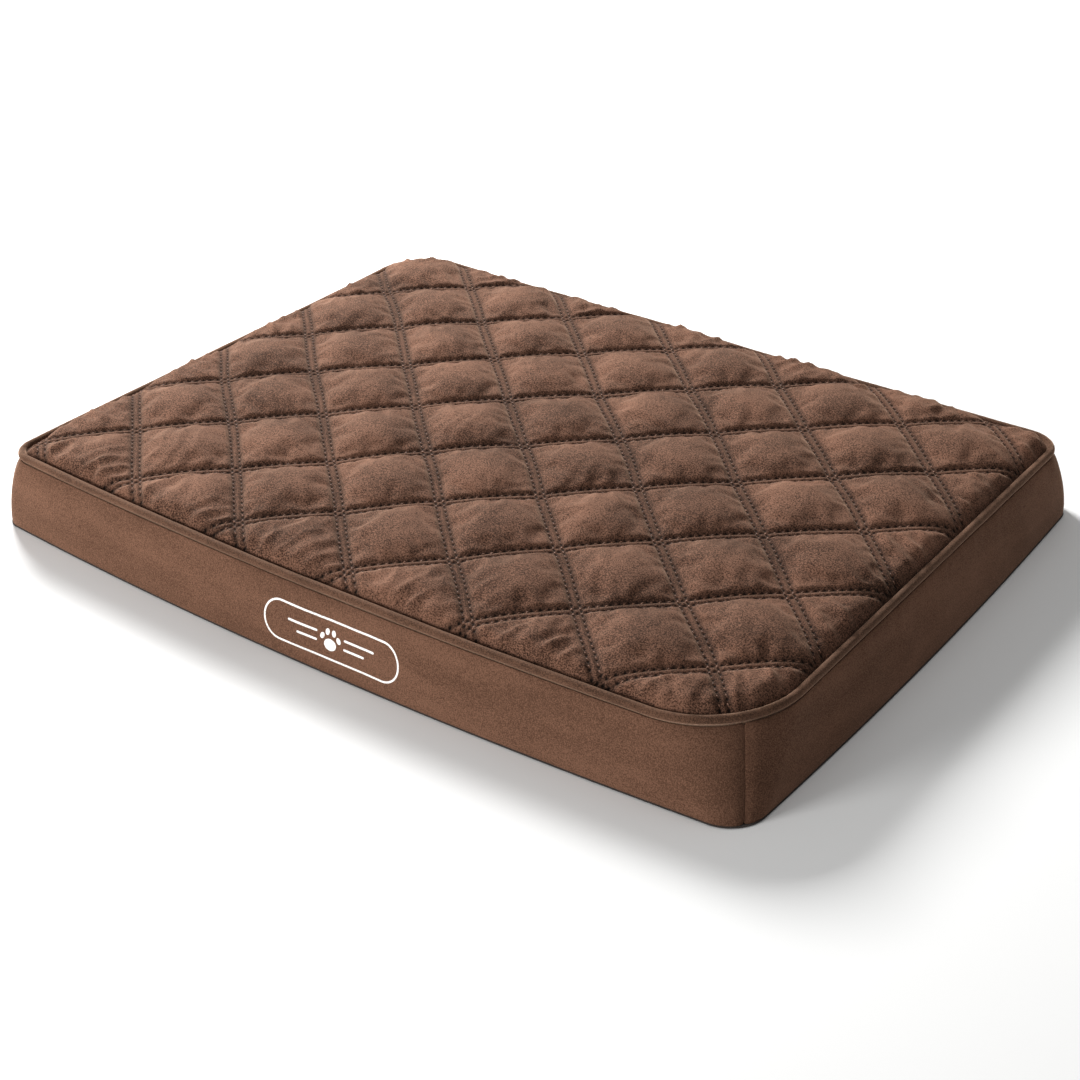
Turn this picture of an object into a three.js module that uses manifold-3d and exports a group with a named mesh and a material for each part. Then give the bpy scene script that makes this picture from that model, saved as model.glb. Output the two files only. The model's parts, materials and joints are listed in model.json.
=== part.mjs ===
// Quilted pet cushion bed: a foam and fibre pad in a box-shaped cover with a zip at the back.
// Millimetres, +Z up, origin on the floor under the middle of the bed.
// The badge is at the front (-Y), the zip at the back (+Y), and the long side runs along X.

import * as THREE from "three";
import { mergeVertices } from "three/addons/utils/BufferGeometryUtils.js";
import Module from "manifold-3d";

// Driving dimensions
const TOP_LENGTH = 784;
const TOP_WIDTH = 565;
const BORDER_HEIGHT = 67;
const CROWN_TOP = 94;
const BASE_FLARE = 10;
const BELLY = 2;
const FRONT_BOW = 11;
const CLOTH = 1.5;
const THIN_CLOTH = 0.6;
const GAP = 0.35;
const DOME_GAP = 0.9;

// Piping round the top edge
const PIPING_RADIUS = 3.7;
const PIPING_WRAP = 1.2;
const PIPING_FLANGE_DROP = 9;
const PIPING_SIDES = 8;

// Zip in the back border
const ZIP_LENGTH = 580;
const ZIP_HEIGHT = 33.5;
const ZIP_WINDOW = 12;
const TAPE_WIDTH = 13;
const TAPE_SPARE = 13;
const COIL_WIDTH = 2.6;
const COIL_DEPTH = 2.2;
const CHAIN_SLIT = 1.2;
const SLIDER_LENGTH = 14;
const SLIDER_WIDTH = 9;
const PULL_LENGTH = 28;
const STOP_LENGTH = 3;

// Padding
const PAD_INSET = 11;
const FOAM_TOP = 58;
const LINER_SPLIT = 34;
const SHEET_INSET = 7.8;

const COLOURS = {
  velour: 0x6f4f3e,
  borderVelour: 0x7a5643,
  base: 0x2b2421,
  wadding: 0xf2f1ec,
  nonwoven: 0xe4e2dc,
  foam: 0xe9dfb8,
  cord: 0xe9e6df,
  tape: 0x4a342a,
  coil: 0x3a2820,
  metal: 0x6d6459,
  label: 0xf4f4f1,
  print: 0xf6f4f0,
};

const bed = new THREE.Group();

function addPiece(name, geometry, colour, roughness = 0.95, metalness = 0, parent = bed) {
  const material = new THREE.MeshStandardMaterial({ color: colour, roughness, metalness });
  const mesh = new THREE.Mesh(geometry, material);
  mesh.name = name;
  parent.add(mesh);
  return mesh;
}

// ---- Solids -------------------------------------------------------------------------

function block(size, centre) {
  const geometry = new THREE.BoxGeometry(...size);
  geometry.translate(...centre);
  return geometry;
}

function toSolid(geometry) {
  const bare = geometry.clone();
  bare.deleteAttribute("normal");
  bare.deleteAttribute("uv");
  const merged = mergeVertices(bare, 1e-3);
  const triangles = Uint32Array.from(merged.index.array);
  const vertices = Float32Array.from(merged.attributes.position.array);
  const mesh = new wasm.Mesh({ numProp: 3, vertProperties: vertices, triVerts: triangles });
  return new wasm.Manifold(mesh);
}

function toGeometry(manifold) {
  const mesh = manifold.getMesh();
  const geometry = new THREE.BufferGeometry();
  geometry.setAttribute("position", new THREE.BufferAttribute(mesh.vertProperties, 3));
  geometry.setIndex(new THREE.BufferAttribute(mesh.triVerts, 1));
  geometry.computeVertexNormals();
  return geometry;
}

function join(geometries) {
  return toGeometry(geometries.map(toSolid).reduce((all, one) => all.add(one)));
}

// ---- Plan of the bed ------------------------------------------------------------------
// The plan is a rectangle with round corners, each with its own radius at the top edge and
// at the floor, because the filling pushes them out differently. The back left corner is
// also drawn in along X, so the back is a little shorter than the front. Stations run
// anticlockwise from the seam at the front left corner, and every layer uses the same ones,
// so nested layers keep their gaps.

const CORNERS = {
  frontLeft: { x: -1, y: -1, top: 24, base: 20, drawnIn: 0 },
  frontRight: { x: 1, y: -1, top: 92, base: 35, drawnIn: 0 },
  backRight: { x: 1, y: 1, top: 32, base: 24, drawnIn: 0 },
  backLeft: { x: -1, y: 1, top: 60, base: 40, drawnIn: 22 },
};
const { frontLeft, frontRight, backRight, backLeft } = CORNERS;
const CORNER_STEPS = 6;
const FRONT = { name: "front", from: frontLeft, to: frontRight, angle: -90, steps: 8, bow: FRONT_BOW };
const RIGHT = { name: "right", from: frontRight, to: backRight, angle: 0, steps: 6, bow: 0 };
const BACK = { name: "back", from: backRight, to: backLeft, angle: 90, steps: 8, bow: 0 };
const LEFT = { name: "left", from: backLeft, to: frontLeft, angle: 180, steps: 6, bow: 0 };
const SIDES = [FRONT, RIGHT, BACK, LEFT];

function sideStations(side) {
  const stations = [];
  const turn = 90 / CORNER_STEPS;
  const half = CORNER_STEPS / 2;
  for (let i = 0; i < half; i++) {
    stations.push({ side, along: 0, angle: side.angle - (half - i) * turn });
  }
  for (let i = 0; i <= side.steps; i++) {
    stations.push({ side, along: i / side.steps, angle: side.angle });
  }
  for (let i = 1; i < half; i++) {
    stations.push({ side, along: 1, angle: side.angle + i * turn });
  }
  return stations;
}

const STATIONS = SIDES.flatMap(sideStations);
const sideStart = (name) => STATIONS.findIndex((station) => station.side.name === name);

function cornerRadius(corner, plan) {
  return THREE.MathUtils.lerp(corner.base, corner.top, plan.rise) - plan.inset;
}

function cornerCentre(corner, plan) {
  const radius = cornerRadius(corner, plan);
  const x = corner.x * (plan.halfLength - radius - corner.drawnIn);
  const y = corner.y * (plan.halfWidth - radius);
  return new THREE.Vector2(x, y);
}

function planPoint(station, plan) {
  const { side, along, angle } = station;
  const turn = THREE.MathUtils.degToRad(angle);
  const ends = [cornerRadius(side.from, plan), cornerRadius(side.to, plan)];
  const radius = THREE.MathUtils.lerp(...ends, along);
  const reach = radius + side.bow * 4 * along * (1 - along);
  const middle = cornerCentre(side.from, plan).lerp(cornerCentre(side.to, plan), along);
  return middle.add(new THREE.Vector2(Math.cos(turn), Math.sin(turn)).multiplyScalar(reach));
}

// Plan of the cover's outer face at a height, moved inwards by an inset.
function coverPlan(height, inset) {
  const rise = THREE.MathUtils.clamp(height / BORDER_HEIGHT, 0, 1);
  const flare = BASE_FLARE * (1 - rise) + BELLY * 4 * rise * (1 - rise);
  const halfLength = TOP_LENGTH / 2 + flare - inset;
  const halfWidth = TOP_WIDTH / 2 + flare - inset;
  return { halfLength, halfWidth, rise, inset };
}

// Crown of the top: 1 in the middle, 0 at the rim. The powers set how flat its middle is and
// how close to the rim it falls away.
const CROWN_POWER = 0.4;
const RIM_POWER = 12;

function crown(point, scale) {
  const across = 1 - (point.x / (TOP_LENGTH / 2)) ** 2;
  const deep = 1 - (point.y / (TOP_WIDTH / 2 + FRONT_BOW)) ** 2;
  return Math.max(0, across * deep) ** CROWN_POWER * (1 - scale ** RIM_POWER);
}

// ---- Shapes that follow the plan ------------------------------------------------------

// A layer is turned like a lathe piece and its rings are then stretched to the plan.
// Rings run from the centre underneath, out, up and back to the centre on top.
function layer(rings) {
  const profile = rings.map((ring, index) => new THREE.Vector2(ring.scale, index));
  const geometry = new THREE.LatheGeometry(profile, STATIONS.length);
  const { position, uv } = geometry.attributes;
  for (let i = 0; i < position.count; i++) {
    const station = STATIONS[Math.round(uv.getX(i) * STATIONS.length) % STATIONS.length];
    const ring = rings[Math.round(uv.getY(i) * (rings.length - 1))];
    const point = planPoint(station, ring.plan).multiplyScalar(ring.scale);
    position.setXYZ(i, point.x, point.y, ring.rim + ring.rise * crown(point, ring.scale));
  }
  return geometry;
}

const DOME_SCALES = [0, 0.5, 0.8, 0.93, 1];

// A domed sheet: under and over are { rim, rise }, the height at the rim and the crown's rise.
function domedSheet(inset, under, over) {
  const plan = coverPlan(BORDER_HEIGHT, inset);
  const below = DOME_SCALES.map((scale) => ({ scale, plan, ...under }));
  const above = DOME_SCALES.map((scale) => ({ scale, plan, ...over })).reverse();
  return layer([...below, ...above]);
}

function flatSlab(plan, bottom, top) {
  return layer([
    { scale: 0, plan, rim: bottom, rise: 0 },
    { scale: 1, plan, rim: bottom, rise: 0 },
    { scale: 1, plan, rim: top, rise: 0 },
    { scale: 0, plan, rim: top, rise: 0 },
  ]);
}

// A closed section, as [inset, height] points from the outside up and over, swept all round.
function loop(section) {
  const geometry = new THREE.TorusGeometry(2, 1, section.length, STATIONS.length);
  const { position, uv } = geometry.attributes;
  for (let i = 0; i < position.count; i++) {
    const station = STATIONS[Math.round(uv.getX(i) * STATIONS.length) % STATIONS.length];
    const [inset, height] = section[Math.round(uv.getY(i) * section.length) % section.length];
    const point = planPoint(station, coverPlan(BORDER_HEIGHT, inset));
    position.setXYZ(i, point.x, point.y, height);
  }
  return geometry;
}

function levelsBetween(low, high, steps) {
  return Array.from({ length: steps + 1 }, (_, i) => low + ((high - low) * i) / steps);
}

// A strip of border cloth: a flat box laid along the stations, with its rows at the levels.
function borderStrip(first, count, levels) {
  const rows = levels.length - 1;
  const geometry = new THREE.BoxGeometry(count, 1, rows, count, 1, rows);
  const { position } = geometry.attributes;
  for (let i = 0; i < position.count; i++) {
    const index = Math.round(first + position.getX(i) + count / 2);
    const height = levels[Math.round(position.getZ(i) + rows / 2)];
    const inset = BORDER_INSET + (position.getY(i) < 0 ? 0 : CLOTH);
    const point = planPoint(STATIONS[index % STATIONS.length], coverPlan(height, inset));
    position.setXYZ(i, point.x, point.y, height);
  }
  return geometry;
}

// Lays a thin piece on the front or back. The piece is drawn with X along the side, Y
// through the cloth and Z up.
function layOnSide(geometry, side) {
  const { position } = geometry.attributes;
  for (let i = 0; i < position.count; i++) {
    const plan = coverPlan(position.getZ(i), BORDER_INSET);
    const start = cornerCentre(side.from, plan).x;
    const end = cornerCentre(side.to, plan).x;
    const along = (position.getX(i) - start) / (end - start);
    const face = planPoint({ side, along, angle: side.angle }, plan);
    position.setY(i, face.y + position.getY(i));
  }
  return geometry;
}

// ---- Quilted top ----------------------------------------------------------------------

const CROWN_RISE = 23.5;
const WADDING_CENTRE = 10;
const FACE_CLOTH = 1.2;
const WADDING_RIM = 2;

function addQuiltedTop() {
  const faceOver = { rim: CROWN_TOP - CROWN_RISE, rise: CROWN_RISE };
  const faceUnder = { rim: faceOver.rim - FACE_CLOTH, rise: CROWN_RISE };
  const waddingOver = { rim: faceUnder.rim - DOME_GAP, rise: CROWN_RISE };
  const lowerRise = CROWN_RISE - (WADDING_CENTRE - WADDING_RIM);
  const waddingUnder = { rim: waddingOver.rim - WADDING_RIM, rise: lowerRise };
  const backingOver = { rim: waddingUnder.rim - DOME_GAP, rise: lowerRise };
  const backingUnder = { rim: backingOver.rim - THIN_CLOTH, rise: lowerRise };
  addPiece("quilt_face", domedSheet(SHEET_INSET, faceUnder, faceOver), COLOURS.velour);
  addPiece("quilt_wadding", domedSheet(SHEET_INSET, waddingUnder, waddingOver), COLOURS.wadding);
  addPiece("quilt_backing", domedSheet(SHEET_INSET, backingUnder, backingOver), COLOURS.nonwoven);
  return backingUnder;
}

// ---- Piping ---------------------------------------------------------------------------

const PIPING_INSET = PIPING_RADIUS;
const PIPING_CENTRE = BORDER_HEIGHT + GAP + PIPING_RADIUS;

function arcPoints(radius, startDegrees, endDegrees, sides) {
  const points = [];
  for (let i = 0; i <= sides; i++) {
    const turn = THREE.MathUtils.degToRad(startDegrees + ((endDegrees - startDegrees) * i) / sides);
    points.push([PIPING_INSET - radius * Math.cos(turn), PIPING_CENTRE + radius * Math.sin(turn)]);
  }
  return points;
}

// Bias-cut cloth folded round the cord, with its two edges hanging down as a sewing flange.
function pipingSection() {
  const inner = PIPING_RADIUS - PIPING_WRAP;
  const slit = THIN_CLOTH / 2;
  const leg = PIPING_WRAP;
  const foot = BORDER_HEIGHT - PIPING_FLANGE_DROP;
  const outerTurn = THREE.MathUtils.radToDeg(Math.asin((slit + leg) / PIPING_RADIUS));
  const innerTurn = THREE.MathUtils.radToDeg(Math.asin(slit / inner));
  return [
    ...arcPoints(PIPING_RADIUS, -90 + outerTurn, 270 - outerTurn, PIPING_SIDES),
    [PIPING_INSET + slit + leg, foot],
    [PIPING_INSET + slit, foot],
    ...arcPoints(inner, 270 - innerTurn, -90 + innerTurn, PIPING_SIDES - 2),
    [PIPING_INSET - slit, foot],
    [PIPING_INSET - slit - leg, foot],
  ];
}

function addPiping() {
  const cordRadius = PIPING_RADIUS - PIPING_WRAP - GAP;
  const cord = arcPoints(cordRadius, 0, 360, PIPING_SIDES - 1).slice(0, -1);
  addPiece("piping_cover", loop(pipingSection()), COLOURS.velour, 0.9);
  addPiece("piping_cord", loop(cord), COLOURS.cord);
}

// ---- Border and base ------------------------------------------------------------------

const BORDER_INSET = 0.6;
const BASE_THICKNESS = 1.2;
const BORDER_FOOT = BASE_THICKNESS + GAP;

function panelStations(name) {
  const first = sideStart(name);
  const order = SIDES.findIndex((side) => side.name === name);
  const next = SIDES[order + 1] ? sideStart(SIDES[order + 1].name) : STATIONS.length;
  return { first, count: next - first };
}

// Neighbouring panels meet at the corner seams, where each is trimmed by half a gap.
function trimEnds(geometry) {
  const plan = coverPlan(BORDER_HEIGHT, 0);
  let trimmed = toSolid(geometry);
  for (const corner of Object.values(CORNERS)) {
    const slot = new THREE.BoxGeometry(4 * corner.top, GAP, 3 * BORDER_HEIGHT);
    slot.rotateZ(Math.atan2(corner.y, corner.x));
    const centre = cornerCentre(corner, plan);
    slot.translate(centre.x, centre.y, 0);
    trimmed = trimmed.subtract(toSolid(slot));
  }
  return trimmed;
}

function addBorder() {
  const levels = levelsBetween(BORDER_FOOT, BORDER_HEIGHT - GAP, 4);
  for (const name of ["front", "left", "right"]) {
    const { first, count } = panelStations(name);
    const panel = toGeometry(trimEnds(borderStrip(first, count, levels)));
    addPiece(`${name}_border`, panel, COLOURS.borderVelour);
  }
  const back = panelStations("back");
  const windowFoot = ZIP_HEIGHT - ZIP_WINDOW / 2;
  const windowHead = ZIP_HEIGHT + ZIP_WINDOW / 2;
  const strips = {
    lower: levelsBetween(BORDER_FOOT, windowFoot, 2),
    upper: levelsBetween(windowHead, BORDER_HEIGHT - GAP, 2),
  };
  for (const [name, rows] of Object.entries(strips)) {
    const strip = toGeometry(trimEnds(borderStrip(back.first, back.count, rows)));
    addPiece(`back_border_${name}`, strip, COLOURS.borderVelour);
  }
  // Short tabs close the window between each end of the zip and the corner seam.
  const tabLevels = [windowFoot + GAP, windowHead - GAP];
  const tabSteps = CORNER_STEPS / 2 + 1;
  const chainEnds = ZIP_LENGTH + 2 * (STOP_LENGTH + 2 * GAP);
  const chainSpace = toSolid(block([chainEnds, TOP_WIDTH * 2, BORDER_HEIGHT], [0, 0, ZIP_HEIGHT]));
  const tabs = {
    right: back.first,
    left: back.first + back.count - tabSteps,
  };
  for (const [name, first] of Object.entries(tabs)) {
    const tab = trimEnds(borderStrip(first, tabSteps, tabLevels)).subtract(chainSpace);
    addPiece(`zip_end_tab_${name}`, toGeometry(tab), COLOURS.borderVelour);
  }
}

function addBase() {
  const plan = coverPlan(0, BORDER_INSET);
  addPiece("base_panel", flatSlab(plan, 0, BASE_THICKNESS), COLOURS.base, 0.98);
}

// ---- Pad inside the cover -------------------------------------------------------------

function addPad(backingUnder) {
  const wall = coverPlan(BORDER_HEIGHT, PAD_INSET);
  const inside = coverPlan(BORDER_HEIGHT, PAD_INSET + THIN_CLOTH);
  const core = coverPlan(BORDER_HEIGHT, PAD_INSET + THIN_CLOTH + GAP);
  const floor = BASE_THICKNESS + GAP;

  const linerOver = { rim: backingUnder.rim - DOME_GAP, rise: backingUnder.rise };
  const linerUnder = { rim: linerOver.rim - THIN_CLOTH, rise: linerOver.rise };
  const hemTop = { scale: 1, rim: LINER_SPLIT, rise: 0 };
  const linerTop = layer([
    ...DOME_SCALES.map((scale) => ({ scale, plan: inside, ...linerUnder })),
    { ...hemTop, plan: inside },
    { ...hemTop, plan: wall },
    ...DOME_SCALES.map((scale) => ({ scale, plan: wall, ...linerOver })).reverse(),
  ]);
  addPiece("inner_liner_top", linerTop, COLOURS.nonwoven);

  const hemBottom = { scale: 1, rim: LINER_SPLIT - GAP, rise: 0 };
  const linerFloor = floor + THIN_CLOTH;
  const linerBottom = layer([
    { scale: 0, plan: wall, rim: floor, rise: 0 },
    { scale: 1, plan: wall, rim: floor, rise: 0 },
    { ...hemBottom, plan: wall },
    { ...hemBottom, plan: inside },
    { scale: 1, plan: inside, rim: linerFloor, rise: 0 },
    { scale: 0, plan: inside, rim: linerFloor, rise: 0 },
  ]);
  addPiece("inner_liner_bottom", linerBottom, COLOURS.nonwoven);

  addPiece("foam_slab", flatSlab(core, linerFloor + GAP, FOAM_TOP), COLOURS.foam);

  const fillTop = { rim: linerUnder.rim - DOME_GAP, rise: linerUnder.rise };
  const fillFoot = FOAM_TOP + GAP;
  const fill = layer([
    { scale: 0, plan: core, rim: fillFoot, rise: 0 },
    { scale: 1, plan: core, rim: fillFoot, rise: 0 },
    ...DOME_SCALES.map((scale) => ({ scale, plan: core, ...fillTop })).reverse(),
  ]);
  addPiece("fibre_fill", fill, COLOURS.wadding);
}

// ---- Zip ------------------------------------------------------------------------------
// The zip lies in the plane of the back border, so its group leans with the flare. In the
// group, X runs along the chain, Y points out of the cloth and Z across the chain.

const TAPE_FACE = -2.4;
const COIL_FACE = TAPE_FACE + GAP + COIL_DEPTH;
const PLATE_THICKNESS = 1.1;
const WEB_THICKNESS = 0.6;
const AXLE_CLEARANCE = 0.9;
const AXLE_DEPTH = COIL_FACE + GAP + PLATE_THICKNESS + AXLE_CLEARANCE;
const AXLE_RADIUS = 0.5;
const WEB_LENGTH = 3;
const WEB_SETBACK = 2;
const FLANGE_DEPTH = 1.4;
const FLANGE_THICKNESS = 0.6;
const JOIN_OVERLAP = 0.1;
const BAIL_HALF = 4;
const BAIL_CLEARANCE = 0.8;
const BAIL_THICKNESS = 0.8;
const BAIL_POST = 1;
const BAIL_HALF_WIDTH = 1.2;
const ZIP_RECESS = 1.6;

function sliderBody() {
  const plateY = COIL_FACE + GAP + PLATE_THICKNESS / 2;
  const backY = TAPE_FACE - THIN_CLOTH - GAP - PLATE_THICKNESS / 2;
  const webX = SLIDER_LENGTH / 2 - WEB_SETBACK;
  const plateTop = plateY + PLATE_THICKNESS / 2;
  const strapFoot = AXLE_DEPTH + BAIL_CLEARANCE;
  const strapTop = strapFoot + BAIL_THICKNESS;
  const pieces = [
    block([SLIDER_LENGTH, PLATE_THICKNESS, SLIDER_WIDTH], [0, plateY, 0]),
    block([SLIDER_LENGTH, PLATE_THICKNESS, SLIDER_WIDTH], [0, backY, 0]),
    block([WEB_LENGTH, plateY - backY, WEB_THICKNESS], [webX, (plateY + backY) / 2, 0]),
    block([2 * BAIL_HALF, BAIL_THICKNESS, 2 * BAIL_HALF_WIDTH], [0, (strapFoot + strapTop) / 2, 0]),
  ];
  for (const end of [-1, 1]) {
    const flangeZ = (end * (SLIDER_WIDTH - PLATE_THICKNESS)) / 2;
    const flangeHeight = PLATE_THICKNESS + FLANGE_DEPTH;
    const flangeY = plateTop - flangeHeight / 2;
    const flange = [SLIDER_LENGTH, flangeHeight, FLANGE_THICKNESS];
    pieces.push(block(flange, [0, flangeY, flangeZ]));
    const postHeight = strapTop - plateTop + JOIN_OVERLAP;
    const postX = end * (BAIL_HALF - BAIL_POST / 2);
    const postY = strapTop - postHeight / 2;
    pieces.push(block([BAIL_POST, postHeight, 2 * BAIL_HALF_WIDTH], [postX, postY, 0]));
  }
  return join(pieces);
}

// A stamped tab with an eye at one end: the eye's end bar turns under the slider's bail.
const PULL_WIDTH = 7;
const PULL_ARM = 1.5;
const EYE_LENGTH = 6.5;

function pullTab() {
  const width = PULL_WIDTH;
  const eye = EYE_LENGTH;
  const outline = new THREE.Shape();
  outline.moveTo(AXLE_RADIUS, -width / 2);
  outline.lineTo(AXLE_RADIUS, width / 2);
  outline.lineTo(-PULL_LENGTH + width / 2, width / 2);
  outline.absarc(-PULL_LENGTH + width / 2, 0, width / 2, Math.PI / 2, (3 * Math.PI) / 2, false);
  outline.closePath();
  const hole = new THREE.Path();
  const armInside = width / 2 - PULL_ARM;
  hole.moveTo(-AXLE_RADIUS, -armInside);
  hole.lineTo(-eye, -armInside);
  hole.lineTo(-eye, armInside);
  hole.lineTo(-AXLE_RADIUS, armInside);
  hole.closePath();
  outline.holes.push(hole);
  const geometry = new THREE.ExtrudeGeometry(outline, {
    depth: 2 * AXLE_RADIUS,
    bevelEnabled: false,
    curveSegments: 8,
  });
  geometry.translate(0, 0, -AXLE_RADIUS);
  geometry.rotateX(-Math.PI / 2);
  geometry.translate(0, AXLE_DEPTH, 0);
  return geometry;
}

function addZip() {
  const zip = new THREE.Group();
  const plan = coverPlan(ZIP_HEIGHT, BORDER_INSET);
  zip.position.set(0, plan.halfWidth - ZIP_RECESS, ZIP_HEIGHT);
  zip.rotation.x = Math.atan(BASE_FLARE / BORDER_HEIGHT);
  bed.add(zip);

  const halfSlit = CHAIN_SLIT / 2;
  const halfZip = ZIP_LENGTH / 2;
  const tapeLength = ZIP_LENGTH + 2 * TAPE_SPARE;
  const tapeY = TAPE_FACE - THIN_CLOTH / 2;
  const coilY = COIL_FACE - COIL_DEPTH / 2;
  for (const [name, side] of Object.entries({ upper: 1, lower: -1 })) {
    const tapeZ = side * (halfSlit + TAPE_WIDTH / 2);
    const tape = block([tapeLength, THIN_CLOTH, TAPE_WIDTH], [0, tapeY, tapeZ]);
    addPiece(`zip_tape_${name}`, tape, COLOURS.tape, 0.9, 0, zip);
    const coilZ = side * (halfSlit + COIL_WIDTH / 2);
    const coil = block([ZIP_LENGTH, COIL_DEPTH, COIL_WIDTH], [0, coilY, coilZ]);
    addPiece(`zip_coil_${name}`, coil, COLOURS.coil, 0.5, 0, zip);
    const stopX = halfZip + GAP + STOP_LENGTH / 2;
    const stop = block([STOP_LENGTH, COIL_DEPTH, COIL_WIDTH], [stopX, coilY, coilZ]);
    addPiece(`zip_top_stop_${name}`, stop, COLOURS.metal, 0.4, 0.9, zip);
  }
  const bottomWidth = CHAIN_SLIT + 2 * COIL_WIDTH;
  const bottomX = -halfZip - GAP - STOP_LENGTH / 2;
  const bottomStop = block([STOP_LENGTH, COIL_DEPTH, bottomWidth], [bottomX, coilY, 0]);
  addPiece("zip_bottom_stop", bottomStop, COLOURS.metal, 0.4, 0.9, zip);

  const slider = new THREE.Group();
  slider.position.x = halfZip - SLIDER_LENGTH / 2;
  zip.add(slider);
  addPiece("zip_slider", sliderBody(), COLOURS.metal, 0.4, 0.9, slider);
  addPiece("zip_pull", pullTab(), COLOURS.metal, 0.4, 0.9, slider);
}

// ---- Small trim -----------------------------------------------------------------------

const BADGE = { x: 12, height: 33, length: 146, width: 36, thickness: 0.3 };
const LABEL = { x: -262, height: 13, length: 30, width: 20, thickness: 0.4 };

// A capsule-shaped transfer print on the front border.
function addBadge() {
  const radius = BADGE.width / 2;
  const flatHalf = BADGE.length / 2 - radius;
  const geometry = new THREE.BoxGeometry(BADGE.length, BADGE.thickness, 2, 16, 1, 2);
  const { position } = geometry.attributes;
  for (let i = 0; i < position.count; i++) {
    const past = Math.max(0, Math.abs(position.getX(i)) - flatHalf);
    const half = Math.max(1, Math.sqrt(Math.max(0, radius ** 2 - past ** 2)));
    position.setZ(i, position.getZ(i) * half);
  }
  const lift = GAP + BADGE.thickness / 2;
  geometry.translate(BADGE.x, -lift, BADGE.height);
  addPiece("printed_badge", layOnSide(geometry, FRONT), COLOURS.print, 0.6);
}

// A blank satin tag on the back border, below the zip.
function addCareLabel() {
  const lift = GAP + LABEL.thickness / 2;
  const centre = [LABEL.x, lift, LABEL.height];
  const geometry = new THREE.BoxGeometry(LABEL.length, LABEL.thickness, LABEL.width, 1, 1, 4);
  geometry.translate(...centre);
  addPiece("care_label", layOnSide(geometry, BACK), COLOURS.label, 0.5);
}

const wasm = await Module();
wasm.setup();

addPad(addQuiltedTop());
addPiping();
addBorder();
addBase();
addZip();
addBadge();
addCareLabel();

// The front bows out and the back is straight, so the bed is moved to centre it on the origin.
bed.position.y = FRONT_BOW / 2;

export default bed;
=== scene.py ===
# %% [markdown]
# # A quilted pet bed, piece by piece
# The bed is a foam and fibre pad in a box-shaped velour cover. The design, its sizes and its
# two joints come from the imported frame, and this lesson builds the looks round it: the
# quilted top, the piping, the border, the zip at the back and the padding inside.

# %% Load the frame
import itertools
import json
import math

import bmesh
import bpy
import numpy as np
from mathutils import Matrix, Vector
from mathutils.bvhtree import BVHTree


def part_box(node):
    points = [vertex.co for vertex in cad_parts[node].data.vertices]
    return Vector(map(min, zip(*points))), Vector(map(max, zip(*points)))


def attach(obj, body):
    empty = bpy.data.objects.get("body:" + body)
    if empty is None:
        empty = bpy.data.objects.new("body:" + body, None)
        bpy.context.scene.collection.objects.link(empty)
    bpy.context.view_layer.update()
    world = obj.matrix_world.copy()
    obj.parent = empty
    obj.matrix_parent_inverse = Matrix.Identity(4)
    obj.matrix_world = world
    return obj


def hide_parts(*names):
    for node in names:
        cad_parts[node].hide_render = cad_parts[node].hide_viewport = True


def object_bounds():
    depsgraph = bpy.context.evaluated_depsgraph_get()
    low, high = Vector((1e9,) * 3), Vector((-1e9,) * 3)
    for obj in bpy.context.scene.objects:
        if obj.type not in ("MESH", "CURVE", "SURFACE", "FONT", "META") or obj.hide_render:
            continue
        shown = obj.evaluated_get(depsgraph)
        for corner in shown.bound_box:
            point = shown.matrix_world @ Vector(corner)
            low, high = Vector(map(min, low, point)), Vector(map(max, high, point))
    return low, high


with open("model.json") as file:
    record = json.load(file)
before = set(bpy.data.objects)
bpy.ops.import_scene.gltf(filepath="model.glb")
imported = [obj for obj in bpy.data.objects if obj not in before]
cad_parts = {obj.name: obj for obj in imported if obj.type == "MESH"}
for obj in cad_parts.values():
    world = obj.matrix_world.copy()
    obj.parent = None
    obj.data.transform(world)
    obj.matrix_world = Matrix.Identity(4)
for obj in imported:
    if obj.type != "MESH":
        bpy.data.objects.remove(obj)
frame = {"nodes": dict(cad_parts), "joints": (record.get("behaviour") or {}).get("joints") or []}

cad_low, cad_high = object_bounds()
scene = bpy.context.scene
MM = 0.001
size = (cad_high - cad_low) / MM
print(f"frame: {len(frame['nodes'])} nodes, {size.x:.0f} x {size.y:.0f} x {size.z:.0f} mm")

# %% [markdown]
# ## Camera, floor and light
# The camera stands at the near right corner and looks down at a little over 30 degrees with a
# long lens, so the bed's edges hardly converge. The floor and the world are nearly white. One
# large lamp stands behind the left end, because that makes the far slope of every puff bright
# and the near slope dark, and shows the quilting. A weaker one lights the front border.

# %% Camera
AZIMUTH = math.radians(36.61)
ELEVATION = math.radians(30.73)
ROLL = math.radians(-1.04)
DISTANCE = 1.9465
AIM = Vector((0, 8.5 * MM, 0))

back = Vector((
    math.sin(AZIMUTH) * math.cos(ELEVATION),
    -math.cos(AZIMUTH) * math.cos(ELEVATION),
    math.sin(ELEVATION),
))
camera = bpy.data.objects.new("camera", bpy.data.cameras.new("camera"))
scene.collection.objects.link(camera)
camera.location = AIM + back * DISTANCE
level = (-back).to_track_quat("-Z", "Y").to_matrix()
camera.rotation_euler = (level @ Matrix.Rotation(ROLL, 3, "Z")).to_euler()
camera.data.lens = 69.76
camera.data.sensor_width = 36
camera.data.shift_x = 0.0016
camera.data.shift_y = -0.0243
scene.camera = camera
scene.view_settings.view_transform = "Standard"
print(f"camera: {tuple(round(c, 3) for c in camera.location)}")


# %% [markdown]
# Every colour is written as the sRGB hex value that the eye would name, and this one function
# turns it into the linear numbers that a shader adds up.

# %% Colour and node helpers
def linear(hex_colour):
    channels = [int(hex_colour[i:i + 2], 16) / 255 for i in (1, 3, 5)]
    return [c / 12.92 if c <= 0.04045 else ((c + 0.055) / 1.055) ** 2.4 for c in channels] + [1]


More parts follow.
